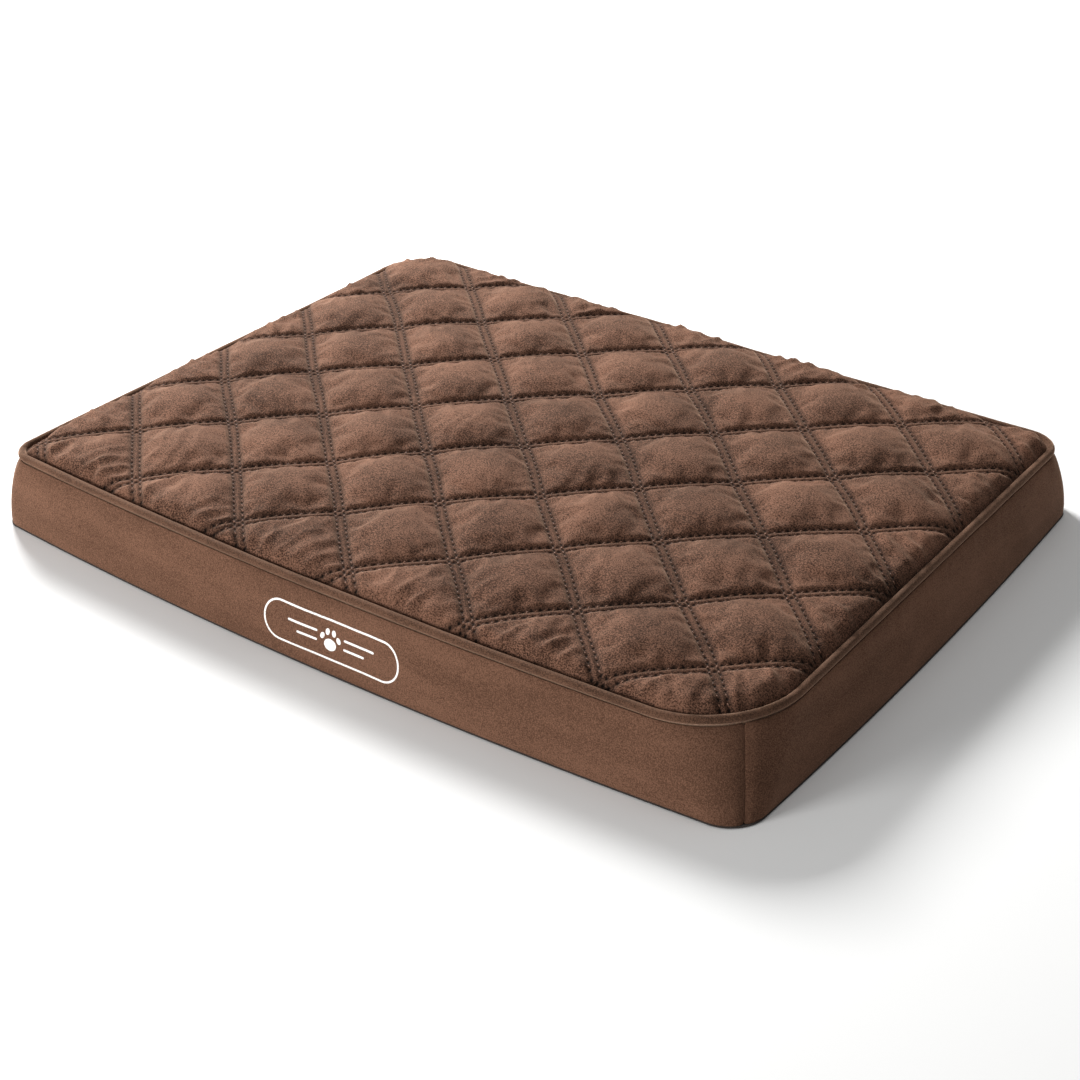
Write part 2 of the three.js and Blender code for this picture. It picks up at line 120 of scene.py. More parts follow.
def new_material(name):
    material = bpy.data.materials.new(name)
    material.use_nodes = True
    tree = material.node_tree
    return material, tree, tree.nodes["Principled BSDF"]


def add_node(tree, kind, inputs=(), stops=(), **settings):
    """Adds a node and gives back its outputs. An input, by name or place, is a value or
    another node's output, and stops are a colour ramp's positions and hex colours."""
    node = tree.nodes.new(kind)
    for key, value in settings.items():
        setattr(node, key, value)
    for key, value in dict(inputs).items():
        if isinstance(value, bpy.types.NodeSocket):
            tree.links.new(value, node.inputs[key])
        else:
            node.inputs[key].default_value = value
    for place, (position, colour) in enumerate(stops):
        elements = node.color_ramp.elements
        element = elements[place] if place < 2 else elements.new(position)
        element.position = position
        element.color = linear(colour)
    return node.outputs


def two_tone(name, noise, stops, roughness, bump=None):
    """A material whose colour runs between two tones with a noise, and whose surface rises
    with it if a bump gives its strength and depth. Gives the noise's value too."""
    material, tree, shader = new_material(name)
    places = add_node(tree, "ShaderNodeTexCoord")["Object"]
    tone = add_node(tree, "ShaderNodeTexNoise", {**noise, "Vector": places})["Fac"]
    colour = add_node(tree, "ShaderNodeValToRGB", {0: tone}, stops)[0]
    tree.links.new(colour, shader.inputs["Base Color"])
    shader.inputs["Roughness"].default_value = roughness
    if bump:
        relief = {"Strength": bump[0], "Distance": bump[1], "Height": tone}
        tree.links.new(add_node(tree, "ShaderNodeBump", relief)[0], shader.inputs["Normal"])
    return material, tree, shader, tone


# %% Floor and lamps
def lay_floor():
    bpy.ops.object.select_all(action="DESELECT")
    bpy.ops.mesh.primitive_plane_add(size=12)
    floor = bpy.context.object
    floor.name = "floor"
    floor.location.z = -0.2 * MM
    material, _, shader = new_material("matt_white_paper")
    shader.inputs["Base Color"].default_value = linear("#f7f7f6")
    shader.inputs["Roughness"].default_value = 0.9
    floor.data.materials.append(material)


def hang_lamp(name, place, width, watts):
    lamp = bpy.data.objects.new(name, bpy.data.lights.new(name, "AREA"))
    scene.collection.objects.link(lamp)
    lamp.data.size = width
    lamp.data.energy = watts
    lamp.location = place
    lamp.rotation_euler = (-Vector(place)).to_track_quat("-Z", "Y").to_euler()


lay_floor()
hang_lamp("key_lamp", (-1.6, 0.9, 1.3), 0.7, 92)
hang_lamp("front_lamp", (-1.1, -2.6, 0.55), 0.9, 77)
hang_lamp("top_lamp", (0.2, 0.4, 2.6), 2.4, 12)
world = bpy.data.worlds.new("studio")
world.use_nodes = True
world.node_tree.nodes["Background"].inputs["Color"].default_value = linear("#ffffff")
world.node_tree.nodes["Background"].inputs["Strength"].default_value = 0.24
scene.world = world

# %% [markdown]
# ## The plan of the bed
# Every piece of the cover follows one plan: a rectangle whose corners each have their own
# radius, and whose front bows out a little. The sizes come from the CAD nodes. A station is a
# place on the way round, and a plan point is that station at a height and an inset.

# %% Plan
FRONT_BOW = 11 * MM
BELLY = 2 * MM
BORDER_INSET = 0.6 * MM
SEAM_GAP = 0.35 * MM
CORNER_SIGNS = np.array([(-1, -1), (1, -1), (1, 1), (-1, 1)])
TOP_RADII = np.array([24, 92, 32, 60]) * MM
BASE_RADII = np.array([20, 35, 24, 40]) * MM
BACK_LEFT_DRAWN_IN = 22 * MM
RIGHT_SAG = 6 * MM
FRONT_SAG = 4 * MM

top_low, top_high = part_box("piping_cover")
half_length = top_high.x
half_width = (top_high.y - top_low.y - FRONT_BOW) / 2
middle_y = top_high.y - half_width
border_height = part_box("front_border")[1].z + SEAM_GAP
base_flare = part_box("base_panel")[1].x + BORDER_INSET - half_length
plan_mm = [2 * half_length / MM, 2 * half_width / MM, border_height / MM]
print("plan: {:.0f} x {:.0f} mm, border {:.0f} mm".format(*plan_mm))


def go_round(straight_steps, corner_steps):
    """Stations from the front left seam anticlockwise: side, share of the side, and angle."""
    half = corner_steps // 2
    rows = []
    for side in range(4):
        facing = 90 * side - 90
        turn = 90 / corner_steps
        rows += [(side, 0, facing - (half - i) * turn) for i in range(half)]
        rows += [(side, i / straight_steps, facing) for i in range(straight_steps + 1)]
        rows += [(side, 1, facing + i * turn) for i in range(1, half)]
    return np.array(rows)


def plan_points(stations, height, inset):
    """The (x, y) of each station at a height, moved inwards by an inset."""
    rise = np.clip(height / border_height, 0, 1)
    flare = base_flare * (1 - rise) + BELLY * 4 * rise * (1 - rise)
    side = stations[:, 0].astype(int)
    along = stations[:, 1]
    radii = BASE_RADII + (TOP_RADII - BASE_RADII) * rise - inset
    half = np.array([half_length, half_width]) + flare - inset
    centres = CORNER_SIGNS * (half - radii[:, None])
    centres[3, 0] += BACK_LEFT_DRAWN_IN
    after = (side + 1) % 4
    middle = centres[side] + (centres[after] - centres[side]) * along[:, None]
    reach = radii[side] + (radii[after] - radii[side]) * along
    bows = np.array([FRONT_BOW + FRONT_SAG * (1 - rise), RIGHT_SAG * (1 - rise), 0, 0])
    reach = reach + bows[side] * 4 * along * (1 - along)
    angle = np.radians(stations[:, 2])
    points = middle + np.column_stack([np.cos(angle), np.sin(angle)]) * reach[:, None]
    points[:, 1] += middle_y
    return points


SHORTEST_STEP = 0.1 * MM
outline_stations = go_round(12, 16)


def rim_place(x, y, inset):
    """How far a point lies inside the top's outline, negative outside, and how far round the
    outline its nearest place is, both in metres."""
    outline = plan_points(outline_stations, border_height, inset)
    nearest = np.full(np.shape(x), 1.0)
    travel = np.zeros(np.shape(x))
    walked = 0
    for start, end in zip(outline, np.roll(outline, -1, axis=0)):
        step = end - start
        length = np.hypot(*step)
        if length > SHORTEST_STEP:
            inward = ((y - start[1]) * step[0] - (x - start[0]) * step[1]) / length
            along = ((x - start[0]) * step[0] + (y - start[1]) * step[1]) / length
            travel = np.where(inward < nearest, walked + along, travel)
            nearest = np.minimum(nearest, inward)
            walked += length
    return nearest, travel


def rim_distance(x, y, inset):
    return rim_place(x, y, inset)[0]


# %% [markdown]
# Some unevenness has to be the same on each run, so it comes from a small sum of sine waves
# with seeded directions and phases, and not from a random number for each point.

# %% Helpers for meshes
def waves(seed, x, y, wavelength, count=10):
    """Smooth noise of about -1 to 1 with waves of roughly the given length."""
    dice = np.random.RandomState(seed)
    total = np.zeros_like(x)
    for _ in range(count):
        heading = dice.uniform(0, 2 * math.pi)
        pitch = 2 * math.pi / (wavelength * dice.uniform(0.7, 1.5))
        phase = dice.uniform(0, 2 * math.pi)
        total = total + np.sin((x * math.cos(heading) + y * math.sin(heading)) * pitch + phase)
    return total / math.sqrt(count)


def get_places(piece):
    places = np.zeros(len(piece.data.vertices) * 3)
    piece.data.vertices.foreach_get("co", places)
    return places.reshape(-1, 3)


def set_places(piece, places):
    piece.data.vertices.foreach_set("co", places.astype(np.float32).ravel())
    piece.data.update()


def new_piece(name, places, faces):
    mesh = bpy.data.meshes.new(name)
    mesh.from_pydata([tuple(p) for p in places], [], [tuple(f) for f in faces])
    piece = bpy.data.objects.new(name, mesh)
    scene.collection.objects.link(piece)
    return piece


def make_active(piece):
    bpy.ops.object.select_all(action="DESELECT")
    piece.select_set(True)
    bpy.context.view_layer.objects.active = piece


SHARP_DEGREES = 40


def smooth(piece, sharp_degrees=None):
    """Shades a piece smooth, except at edges sharper than the angle if there is one."""
    make_active(piece)
    if sharp_degrees:
        bpy.ops.object.shade_smooth_by_angle(angle=math.radians(sharp_degrees))
    else:
        bpy.ops.object.shade_smooth()


def face_outwards(piece):
    make_active(piece)
    bpy.ops.object.mode_set(mode="EDIT")
    bpy.ops.mesh.select_all(action="SELECT")
    bpy.ops.mesh.normals_make_consistent(inside=False)
    bpy.ops.object.mode_set(mode="OBJECT")


def apply_modifier(piece, kind, **settings):
    """Adds one modifier with its settings and applies it."""
    modifier = piece.modifiers.new(kind.lower(), kind)
    for key, value in settings.items():
        setattr(modifier, key, value)
    make_active(piece)
    bpy.ops.object.modifier_apply(modifier=modifier.name)


def bevel(piece, width, segments, sharper_than=1):
    """Rounds the edges that turn by more than an angle in radians."""
    apply_modifier(
        piece, "BEVEL", width=width, segments=segments, limit_method="ANGLE",
        angle_limit=sharper_than,
    )


def grid_faces(row_count, column_count, closed=False):
    """Faces of a grid of points, whose last column joins the first if it is closed."""
    faces = []
    for row in range(row_count - 1):
        for column in range(column_count - (0 if closed else 1)):
            after = (column + 1) % column_count
            here, above = row * column_count, (row + 1) * column_count
            faces.append((here + column, here + after, above + after, above + column))
    return faces


def tube_faces(row_count, column_count, closed=False):
    """Faces of a grid whose last row joins the first."""
    total = row_count * column_count
    faces = grid_faces(row_count + 1, column_count, closed)
    return [[corner % total for corner in face] for face in faces]


def finish_piece(piece, material, slot, body, *stands_for):
    """Gives a piece its material and its body, and hides what it stands for. The slot is not
    used.
    """
    piece.data.materials.clear()
    piece.data.materials.append(material)
    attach(piece, body)
    if stands_for:
        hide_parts(*stands_for)
    triangles = sum(len(p.vertices) - 2 for p in piece.data.polygons)
    print(f"{piece.name}: {triangles} triangles")


# %% [markdown]
# ## Velour
# The cover is polyester velour with a short brushed pile. Its fibres stand up, so it glows
# softly where it is seen along the pile, which is the sheen, and it never shines. The pile
# lies in slightly different directions from place to place, which the eye reads as cloudy
# lighter and darker patches, and single fibre tips make a fine speckle. A real fibre is far
# too thin to show, so the speckle is drawn about 1 mm across.

# %% Velour
def velour(name, deep, light, speckle_mm, streak=(1, 1, 1)):
    """Brushed velour: a dark and a light brown, the size of its speckle and a nap direction.
    Gives the tree, the shader, the colour and the normal too, so that more can be added."""
    material, tree, shader = new_material(name)
    places = add_node(tree, "ShaderNodeTexCoord")["Object"]
    nap = add_node(tree, "ShaderNodeMapping", {"Scale": streak, "Vector": places})[0]
    cloud_settings = {"Scale": 14, "Detail": 5, "Roughness": 0.6, "Vector": nap}
    cloud = add_node(tree, "ShaderNodeTexNoise", cloud_settings)["Fac"]
    fibre = {"Scale": 1000 / speckle_mm, "Detail": 2, "Roughness": 0.7, "Vector": places}
    speckle = add_node(tree, "ShaderNodeTexNoise", fibre)["Fac"]
    share = add_node(tree, "ShaderNodeMath", {0: speckle, 1: 0.72}, operation="MULTIPLY")[0]
    total = add_node(
        tree, "ShaderNodeMath", {0: cloud, 1: 0.28, 2: share}, operation="MULTIPLY_ADD"
    )[0]
    colour = add_node(tree, "ShaderNodeValToRGB", {0: total}, ((0.42, deep), (0.59, light)))[0]
    rough = {"Strength": 0.6, "Distance": 0.3 * MM, "Height": speckle}
    normal = add_node(tree, "ShaderNodeBump", rough)[0]
    tree.links.new(colour, shader.inputs["Base Color"])
    tree.links.new(normal, shader.inputs["Normal"])
    shader.inputs["Roughness"].default_value = 0.95
    shader.inputs["Specular IOR Level"].default_value = 0.1
    shader.inputs["Sheen Weight"].default_value = 0.35
    shader.inputs["Sheen Roughness"].default_value = 0.4
    shader.inputs["Sheen Tint"].default_value = linear("#e0b89c")
    return material, tree, shader, colour, normal


top_velour, top_tree, top_shader, top_colour, top_normal = velour(
    "brushed_velour_quilted", "#2f1f17", "#805c4a", 1.15
)
border_velour = velour(
    "brushed_velour_border", "#4c3427", "#725241", 1.0, (0.6, 0.6, 2.2)
)[0]
# The piping's browns are darker than the border's as painted shade, because its front lies in
# shade.
piping_velour = velour("brushed_velour_bias", "#3a281e", "#664939", 1.0)[0]
piping_velour.node_tree.nodes["Principled BSDF"].inputs["Sheen Weight"].default_value = 0.9

# %% [markdown]
# ## Quilted top
# The top is velour, wadding and backing sewn together in diamonds with twin rows of stitches.
# The rows hold the cloth down and the wadding pushes it up between them. It could be carved
# from a height formula alone, but then every puff would be alike. So a sheet whose edges run
# along the rows is pinned at the rows and the rim, given a little more cloth than it needs,
# and blown up by a cloth simulation, which makes its own puffs and creases.

# %% The diamonds
ROW_GAP = 7 * MM
STITCH_PITCH = 7.2 * MM
DIAMOND_A = np.array([63.4, 58.2]) * MM
DIAMOND_B = np.array([63.3, -62.2]) * MM
CROSSING = np.array([8, -22.4]) * MM
RIM_ABOVE_FOOT = 0.6 * MM
side_a = np.linalg.norm(DIAMOND_A)
side_b = np.linalg.norm(DIAMOND_B)
to_lattice = np.linalg.inv(np.column_stack([DIAMOND_A, DIAMOND_B]))

face_low, face_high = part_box("quilt_face")
sheet_inset = half_length - face_high.x
rim_height = face_low.z + RIM_ABOVE_FOOT
print(f"diamonds: {side_a / MM:.0f} x {side_b / MM:.0f} mm, rim at {rim_height / MM:.1f} mm")


def lattice_of(x, y):
    """Where a point lies in the diamonds: whole numbers are the middle of a twin row."""
    steps = to_lattice @ np.stack([x - CROSSING[0], y - CROSSING[1]])
    return steps[0], steps[1]


def row_distance(steps, side):
    """Distance in metres from the middle of the nearest twin row of one family."""
    return np.abs(steps - np.round(steps)) * side


def nearest_row(x, y):
    a, b = lattice_of(x, y)
    return np.minimum(row_distance(a, side_a), row_distance(b, side_b))


def puff_share(x, y):
    """1 in the middle of a diamond and 0 along its rows."""
    a, b = lattice_of(x, y)
    return np.abs(np.sin(math.pi * a) * np.sin(math.pi * b))


EDGE_RISE = 7.5 * MM
EDGE_REACH = 5 * MM
ROW_TOP = 88.4 * MM
ROW_LIFT = 1.3 * MM


def crown(x, y):
    """1 in the middle of the top and 0 at its rim."""
    across = 1 - (x / half_length) ** 2
    deep = 1 - ((y - middle_y) / (half_width + FRONT_BOW)) ** 2
    return np.maximum(across * deep, 0) ** 0.5


def row_height(x, y):
    """The height at which the stitches hold the cloth: a steep edge, then a slow crown."""
    depth = np.maximum(rim_distance(x, y, sheet_inset), 0)
    edge = 1 - np.exp(-depth / EDGE_REACH)
    a, b = lattice_of(x, y)
    between = np.maximum(np.abs(np.sin(math.pi * a)), np.abs(np.sin(math.pi * b)))
    rise = ROW_TOP - rim_height - EDGE_RISE
    return rim_height + edge * (EDGE_RISE + ROW_LIFT * between) + rise * crown(x, y) * edge


# %% The sheet before it is blown up
GRID_STEPS = 18
DIAMONDS_OUT = 7


def row_places(side, steps):
    """Grid lines along one family: the two rows, the line between them, and even steps."""
    half = ROW_GAP / 2
    cell = np.concatenate([[0], np.linspace(half, side - half, steps + 1)]) / side
    return np.concatenate([cell + i for i in range(-DIAMONDS_OUT, DIAMONDS_OUT)])


def flat_sheet(name, inset, steps):
    """A flat sheet whose edges run along the rows, trimmed to the top's outline."""
    grid_a, grid_b = np.meshgrid(
        row_places(side_a, steps), row_places(side_b, steps), indexing="ij"
    )
    flat = CROSSING + grid_a.reshape(-1, 1) * DIAMOND_A + grid_b.reshape(-1, 1) * DIAMOND_B
    near = rim_distance(flat[:, 0], flat[:, 1], inset) > -side_a / steps * 2.5
    index = np.arange(len(flat)).reshape(grid_a.shape)
    quads = np.stack([index[:-1, :-1], index[:-1, 1:], index[1:, 1:], index[1:, :-1]], -1)
    quads = quads.reshape(-1, 4)
    quads = quads[near[quads].all(1)]
    used, quads = np.unique(quads, return_inverse=True)
    places = np.column_stack([flat[used], np.zeros(len(used))])
    piece = new_piece(name, places, quads.reshape(-1, 4))
    outline = plan_points(outline_stations, border_height, inset)
    mesh = bmesh.new()
    mesh.from_mesh(piece.data)
    for start, end in zip(outline, np.roll(outline, -1, axis=0)):
        step = end - start
        if np.hypot(*step) > SHORTEST_STEP:
            geometry = mesh.verts[:] + mesh.edges[:] + mesh.faces[:]
            bmesh.ops.bisect_plane(
                mesh, geom=geometry, dist=0.01 * MM, clear_outer=True,
                plane_co=(*start, 0), plane_no=(step[1], -step[0], 0),
            )
    bmesh.ops.remove_doubles(mesh, verts=mesh.verts[:], dist=0.7 * MM)
    mesh.to_mesh(piece.data)
    mesh.free()
    return piece


quilt = flat_sheet("quilt_face_velour", sheet_inset, GRID_STEPS)
print(f"sheet: {len(quilt.data.vertices)} points")

# %% [markdown]
# The cloth settings: weight 1 in the pin group holds a point still, and the ease group says
# where the sheet has spare cloth. Most of the ease is near the rim, where the machinist
# pushed it under the presser foot and it now stands in short folds.

# %% Blow the sheet up
PRESSURE = 26
EASE_MIDDLE = 0.045
EASE_RIM = 0.12
EASE_REACH = 42 * MM
SIM_FRAMES = 12
LARGEST_MOVE = 16 * MM
START_PUFF = 3.5 * MM
UNEVEN_START = 0.35 * MM
PUFF_FADE = 10 * MM
HELD_BAND = 0.55 * ROW_GAP
HELD_RIM = 0.6 * MM


def add_group(piece, name, weights):
    group = piece.vertex_groups.new(name=name)
    for index, weight in enumerate(weights):
        group.add([index], float(weight), "REPLACE")
    return group.name


def blow_up(piece, pins, ease, pressure, least, most, frames, cap):
    """Simulates the piece as cloth under pressure and keeps each point within the cap."""
    start = get_places(piece)
    modifier = piece.modifiers.new("cloth", "CLOTH")
    cloth = modifier.settings
    cloth.quality = 6
    cloth.mass = 0.25
    cloth.tension_stiffness = 25
    cloth.compression_stiffness = 25
    cloth.shear_stiffness = 8
    cloth.bending_stiffness = 0.6
    cloth.use_pressure = True
    cloth.uniform_pressure_force = pressure
    cloth.vertex_group_mass = add_group(piece, "pins", pins)
    cloth.vertex_group_shrink = add_group(piece, "ease", ease)
    cloth.shrink_min = -least
    cloth.shrink_max = -most
    cloth.effector_weights.gravity = 0
    modifier.collision_settings.use_collision = False
    modifier.point_cache.frame_end = frames
    for step in range(1, frames + 1):
        scene.frame_set(step)
    make_active(piece)
    bpy.ops.object.modifier_apply(modifier=modifier.name)
    scene.frame_set(1)
    piece.vertex_groups.clear()
    move = get_places(piece) - start
    length = np.linalg.norm(move, axis=1, keepdims=True)
    move *= np.minimum(1, cap / np.maximum(length, 1e-9))
    set_places(piece, start + move)
    print(f"{piece.name}: moved up to {length.max() / MM:.1f} mm, capped at {cap / MM:.0f} mm")


def shape_quilt(piece):
    """Lifts the sheet to its rows with a low uneven puff in each diamond, and blows it up."""
    places = get_places(piece)
    x, y = places[:, 0], places[:, 1]
    depth = rim_distance(x, y, sheet_inset)
    puff = puff_share(x, y) ** 0.5
    fade = np.clip(depth / PUFF_FADE, 0, 1)
    start_puff = START_PUFF * puff * fade + UNEVEN_START * waves(3, x, y, 14 * MM) * fade
    held = (nearest_row(x, y) < HELD_BAND) | (depth < HELD_RIM)
    places[:, 2] = row_height(x, y) + np.where(held, 0, start_puff)
    set_places(piece, places)
    ease = np.exp(-((depth / EASE_REACH) ** 2))
    blow_up(
        piece, held.astype(float), ease, PRESSURE, EASE_MIDDLE, EASE_RIM, SIM_FRAMES, LARGEST_MOVE
    )


shape_quilt(quilt)

# %% [markdown]
# The cloth grid is too coarse to make the short folds that run in from the rim, where the top
# was eased on to the piping. So these are added as curved ridges: each starts square to the
# rim, leans over as it goes inwards and dies out, and none crosses a row of stitches.

# %% Folds at the rim
FOLD_SPACING = 21 * MM
FOLD_HEIGHT = 2.0 * MM
FOLD_START = 10 * MM
FOLD_REACH = 30 * MM
FOLD_LEAN = 0.4
LEAST_REACH = 6 * MM
SWING = 5 * MM
CREASE_HEIGHT = 0.55 * MM
CREASE_SPACING = 19 * MM
FREE_OF_ROW = 7 * MM
FREE_OF_RIM = 3 * MM


def fold_height(x, y):
    """The folds at the rim, each with its own height and reach, and faint creases in a few
    patches of the top."""
    depth, travel = rim_place(x, y, sheet_inset)
    depth = np.maximum(depth, 0)
    lean = FOLD_LEAN * depth ** 1.5 / math.sqrt(FOLD_REACH)
    swing = SWING * waves(61, x, y, 90 * MM, 5)
    phase = math.pi * (travel - lean + swing) / FOLD_SPACING
    ridge = 1 - 2 * np.abs(np.sin(phase)) ** 0.8
    ridge *= 0.6 + 0.4 * waves(64, travel, np.zeros_like(x), 45 * MM, 5)
    reach = FOLD_REACH * (1 + 0.5 * waves(62, travel, np.zeros_like(x), 60 * MM, 5))
    fade = np.exp(-(((depth - FOLD_START) / np.maximum(reach, LEAST_REACH)) ** 2))
    crease = 1 - 2 * np.abs(np.sin(math.pi * (x + 0.55 * y + 2 * swing) / CREASE_SPACING))
    patch = np.clip(waves(63, x, y, 130 * MM, 6) - 0.2, 0, 1)
    return FOLD_HEIGHT * ridge * fade + CREASE_HEIGHT * crease * patch


def add_folds(piece):
    places = get_places(piece)
    x, y = places[:, 0], places[:, 1]
    free = np.clip((nearest_row(x, y) - ROW_GAP / 2) / FREE_OF_ROW, 0, 1)
    loose = np.clip(rim_distance(x, y, sheet_inset) / FREE_OF_RIM, 0, 1)
    places[:, 2] += fold_height(x, y) * free * loose
    set_places(piece, places)


apply_modifier(quilt, "SUBSURF", levels=1, render_levels=1)
add_folds(quilt)
print(f"quilt: highest point {get_places(quilt)[:, 2].max() / MM:.1f} mm")

# %% [markdown]
# After the simulation, each row of stitches is sunk into the cloth, and the whole quilt is
# shifted by a few slow waves so that its rows aren't ruler straight.

# %% Sink the rows
ROW_DEPTH = 1.6 * MM
ROW_WIDTH = 1.6 * MM
ROW_FADE = 6 * MM
WANDER = 1.6 * MM
WANDER_FADE = 60 * MM
VELOUR_THICKNESS = 0.9 * MM


def wander(x, y):
    """A slow sideways shift of the rows that dies out at the rim."""
    fade = np.clip(rim_distance(x, y, sheet_inset) / WANDER_FADE, 0, 1)
    return (
        WANDER * fade * waves(11, x, y, 240 * MM, 4),
        WANDER * fade * waves(12, x, y, 240 * MM, 4),
    )


def sink_rows(piece):
    """Presses the rows in, shifts them, and notes how far along them each point lies."""
    places = get_places(piece)
    x, y = places[:, 0], places[:, 1]
    a, b = lattice_of(x, y)
    sink = np.zeros(len(x))
    for steps, side in ((a, side_a), (b, side_b)):
        off = np.abs(row_distance(steps, side) - ROW_GAP / 2)
        sink = np.maximum(sink, np.exp(-((off / ROW_WIDTH) ** 2)))
    fade = np.clip(rim_distance(x, y, sheet_inset) / ROW_FADE, 0, 1)
    places[:, 2] -= ROW_DEPTH * sink * fade
    shift_x, shift_y = wander(x, y)
    places[:, 0] += shift_x
    places[:, 1] += shift_y
    set_places(piece, places)
    along = piece.data.attributes.new("rows", "FLOAT_VECTOR", "POINT")
    steps = np.column_stack([a * side_a, b * side_b, np.zeros(len(a))]).astype(np.float32)
    along.data.foreach_set("vector", steps.ravel())


apply_modifier(quilt, "SOLIDIFY", thickness=VELOUR_THICKNESS, offset=-1)
sink_rows(quilt)
smooth(quilt)

# %% [markdown]
# The mesh is too coarse for needle holes, so the velour of the top draws them. The mesh
# carries, at each point, how far along the two families of rows it lies, and from that the
# material works out how far it is from the nearest hole. Holes and rows are painted dark as
# painted shade, because the pile is pressed down into them and the light doesn't get in.

# %% Needle holes and rows, as painted shade in the velour
HOLE_RADIUS = 2.1 * MM
ROW_SHADE = 7 * MM
HOLE_DARKNESS = 1.3
ROW_DARKNESS = 0.62
stitches_a = round(side_a / STITCH_PITCH)
stitches_b = round(side_b / STITCH_PITCH)


def draw_rows(tree, shader, colour, normal):
    """Paints shade into a velour along the two families of twin rows, darkest in the needle
    holes, and dents it there.
    """
    rows = add_node(tree, "ShaderNodeAttribute", attribute_name="rows")["Vector"]
    split = add_node(tree, "ShaderNodeSeparateXYZ", {0: rows})
    row_family_shades = []
    for across, along, side, pitch in (
        ("X", "Y", side_a, side_b / stitches_b), ("Y", "X", side_b, side_a / stitches_a),
    ):
        steps = (
            ("off_middle", "PINGPONG", split[across], side / 2),
            ("past_row", "SUBTRACT", "off_middle", ROW_GAP / 2),
            ("off_row", "ABSOLUTE", "past_row", 0),
            ("off_hole", "PINGPONG", split[along], pitch / 2),
            ("row_squared", "POWER", "off_row", 2),
            ("hole_squared", "POWER", "off_hole", 2),
            ("both", "ADD", "row_squared", "hole_squared"),
            ("reach", "SQRT", "both", 0),
            ("hole_share", "DIVIDE", "reach", -HOLE_RADIUS),
            ("hole", "ADD", "hole_share", HOLE_DARKNESS),
            ("row_share", "DIVIDE", "off_row", -ROW_SHADE),
            ("row", "ADD", "row_share", ROW_DARKNESS),
            ("row_family_shade", "MAXIMUM", "hole", "row"),
        )
        made = {}
        for name, operation, first, second in steps:
            values = {0: made.get(first, first), 1: made.get(second, second)}
            made[name] = add_node(tree, "ShaderNodeMath", values, operation=operation)[0]
        row_family_shades.append(made["row_family_shade"])
    both = {0: row_family_shades[0], 1: row_family_shades[1]}
    dark = add_node(tree, "ShaderNodeMath", both, operation="MAXIMUM", use_clamp=True)[0]
    # Painted shade: the holes and the band along each twin row are mixed towards a near-black
    # brown.
    shades = {0: dark, 6: colour, 7: linear("#0e0806")}
    mixed = add_node(tree, "ShaderNodeMix", shades, data_type="RGBA")[2]
    tree.links.new(mixed, shader.inputs["Base Color"])
    dent = {"Strength": 0.8, "Distance": -1.2 * MM, "Height": dark, "Normal": normal}
    tree.links.new(add_node(tree, "ShaderNodeBump", dent)[0], shader.inputs["Normal"])


draw_rows(top_tree, top_shader, top_colour, top_normal)
finish_piece(quilt, top_velour, "velour_top", "cushion", "quilt_face")

# %% [markdown]
# ## Quilting thread
# Each row is a lockstitch in thick brown thread. One stitch is modelled as a short bent
# strand, thick in the middle, whose ends dip into the needle holes. It is then laid along
# every row, turned a little, because each stitch of a lockstitch lies slightly askew.

# %% Thread
QUILTING_STITCH = {"length": 4.6 * MM, "radius": 0.6 * MM, "skew": math.radians(24)}
ROW_MARGIN = 6 * MM
ABOVE_ALL = 0.2
STITCH_THINNING = 0.5
STITCH_RISE = 0.8
STITCH_DIP = 2.6


def polyester_thread():
    """Spun polyester thread: two tones of brown and a low, soft gloss."""
    twist = {"Scale": 900, "Detail": 1}
    stops = ((0.35, "#4e3325"), (0.65, "#8c6149"))
    return two_tone("spun_polyester_thread", twist, stops, 0.7)[0]


def model_stitch(length, radius):
    """One stitch along X, centred on the origin, as loose places and faces."""
    bpy.ops.object.select_all(action="DESELECT")
    bpy.ops.mesh.primitive_cylinder_add(
        vertices=6, radius=radius, depth=length, rotation=(0, math.pi / 2, 0)
    )
    stitch = bpy.context.object
    bpy.ops.object.transform_apply(location=False, rotation=True, scale=False)
    mesh = bmesh.new()
    mesh.from_mesh(stitch.data)
    long_edges = [e for e in mesh.edges if abs(e.verts[0].co.x - e.verts[1].co.x) > MM]
    bmesh.ops.subdivide_edges(mesh, edges=long_edges, cuts=3)
    for vertex in mesh.verts:
        share = abs(vertex.co.x) / (length / 2)
        thin = 1 - STITCH_THINNING * share ** 3
        vertex.co.y *= thin
        bend = STITCH_RISE - STITCH_DIP * share ** 2.5
        vertex.co.z = vertex.co.z * thin + radius * bend
    mesh.to_mesh(stitch.data)
    mesh.free()
    shape = (get_places(stitch), [list(p.vertices) for p in stitch.data.polygons])
    bpy.data.objects.remove(stitch)
    return shape


def row_stitches(along, across):
    """Where the stitches of one family of rows go: their middle and their heading."""
    length, width = np.linalg.norm(along), np.linalg.norm(across)
    per_diamond = round(length / STITCH_PITCH)
    found = []
    for line in range(-DIAMONDS_OUT, DIAMONDS_OUT):
        for edge in (-1, 1):
            for step in range(-DIAMONDS_OUT * per_diamond, DIAMONDS_OUT * per_diamond):
                shift = (step + 0.5) / per_diamond
                offset = line + edge * ROW_GAP / 2 / width
                found.append(CROSSING + shift * along + offset * across)
    found = np.array(found)
    found = found[rim_distance(found[:, 0], found[:, 1], sheet_inset) > ROW_MARGIN]
    moved = found + np.column_stack(wander(found[:, 0], found[:, 1]))
    middles = np.column_stack([moved, np.full(len(moved), ABOVE_ALL)])
    return middles, np.tile([*(along / length), 0], (len(moved), 1))


# %% Copies and stitches
def copy_shape(name, shape, spots):
    """One mesh of copies of a small shape, each turned by a matrix and moved to a middle."""
    places, faces = shape
    copies = [places @ np.array(basis).T + np.array(middle) for basis, middle in spots]
    all_faces = [
        [corner + order * len(places) for corner in face]
        for order in range(len(spots)) for face in faces
    ]
    piece = new_piece(name, np.vstack(copies), all_faces)
    piece.data.polygons.foreach_set("use_smooth", [True] * len(all_faces))
    return piece


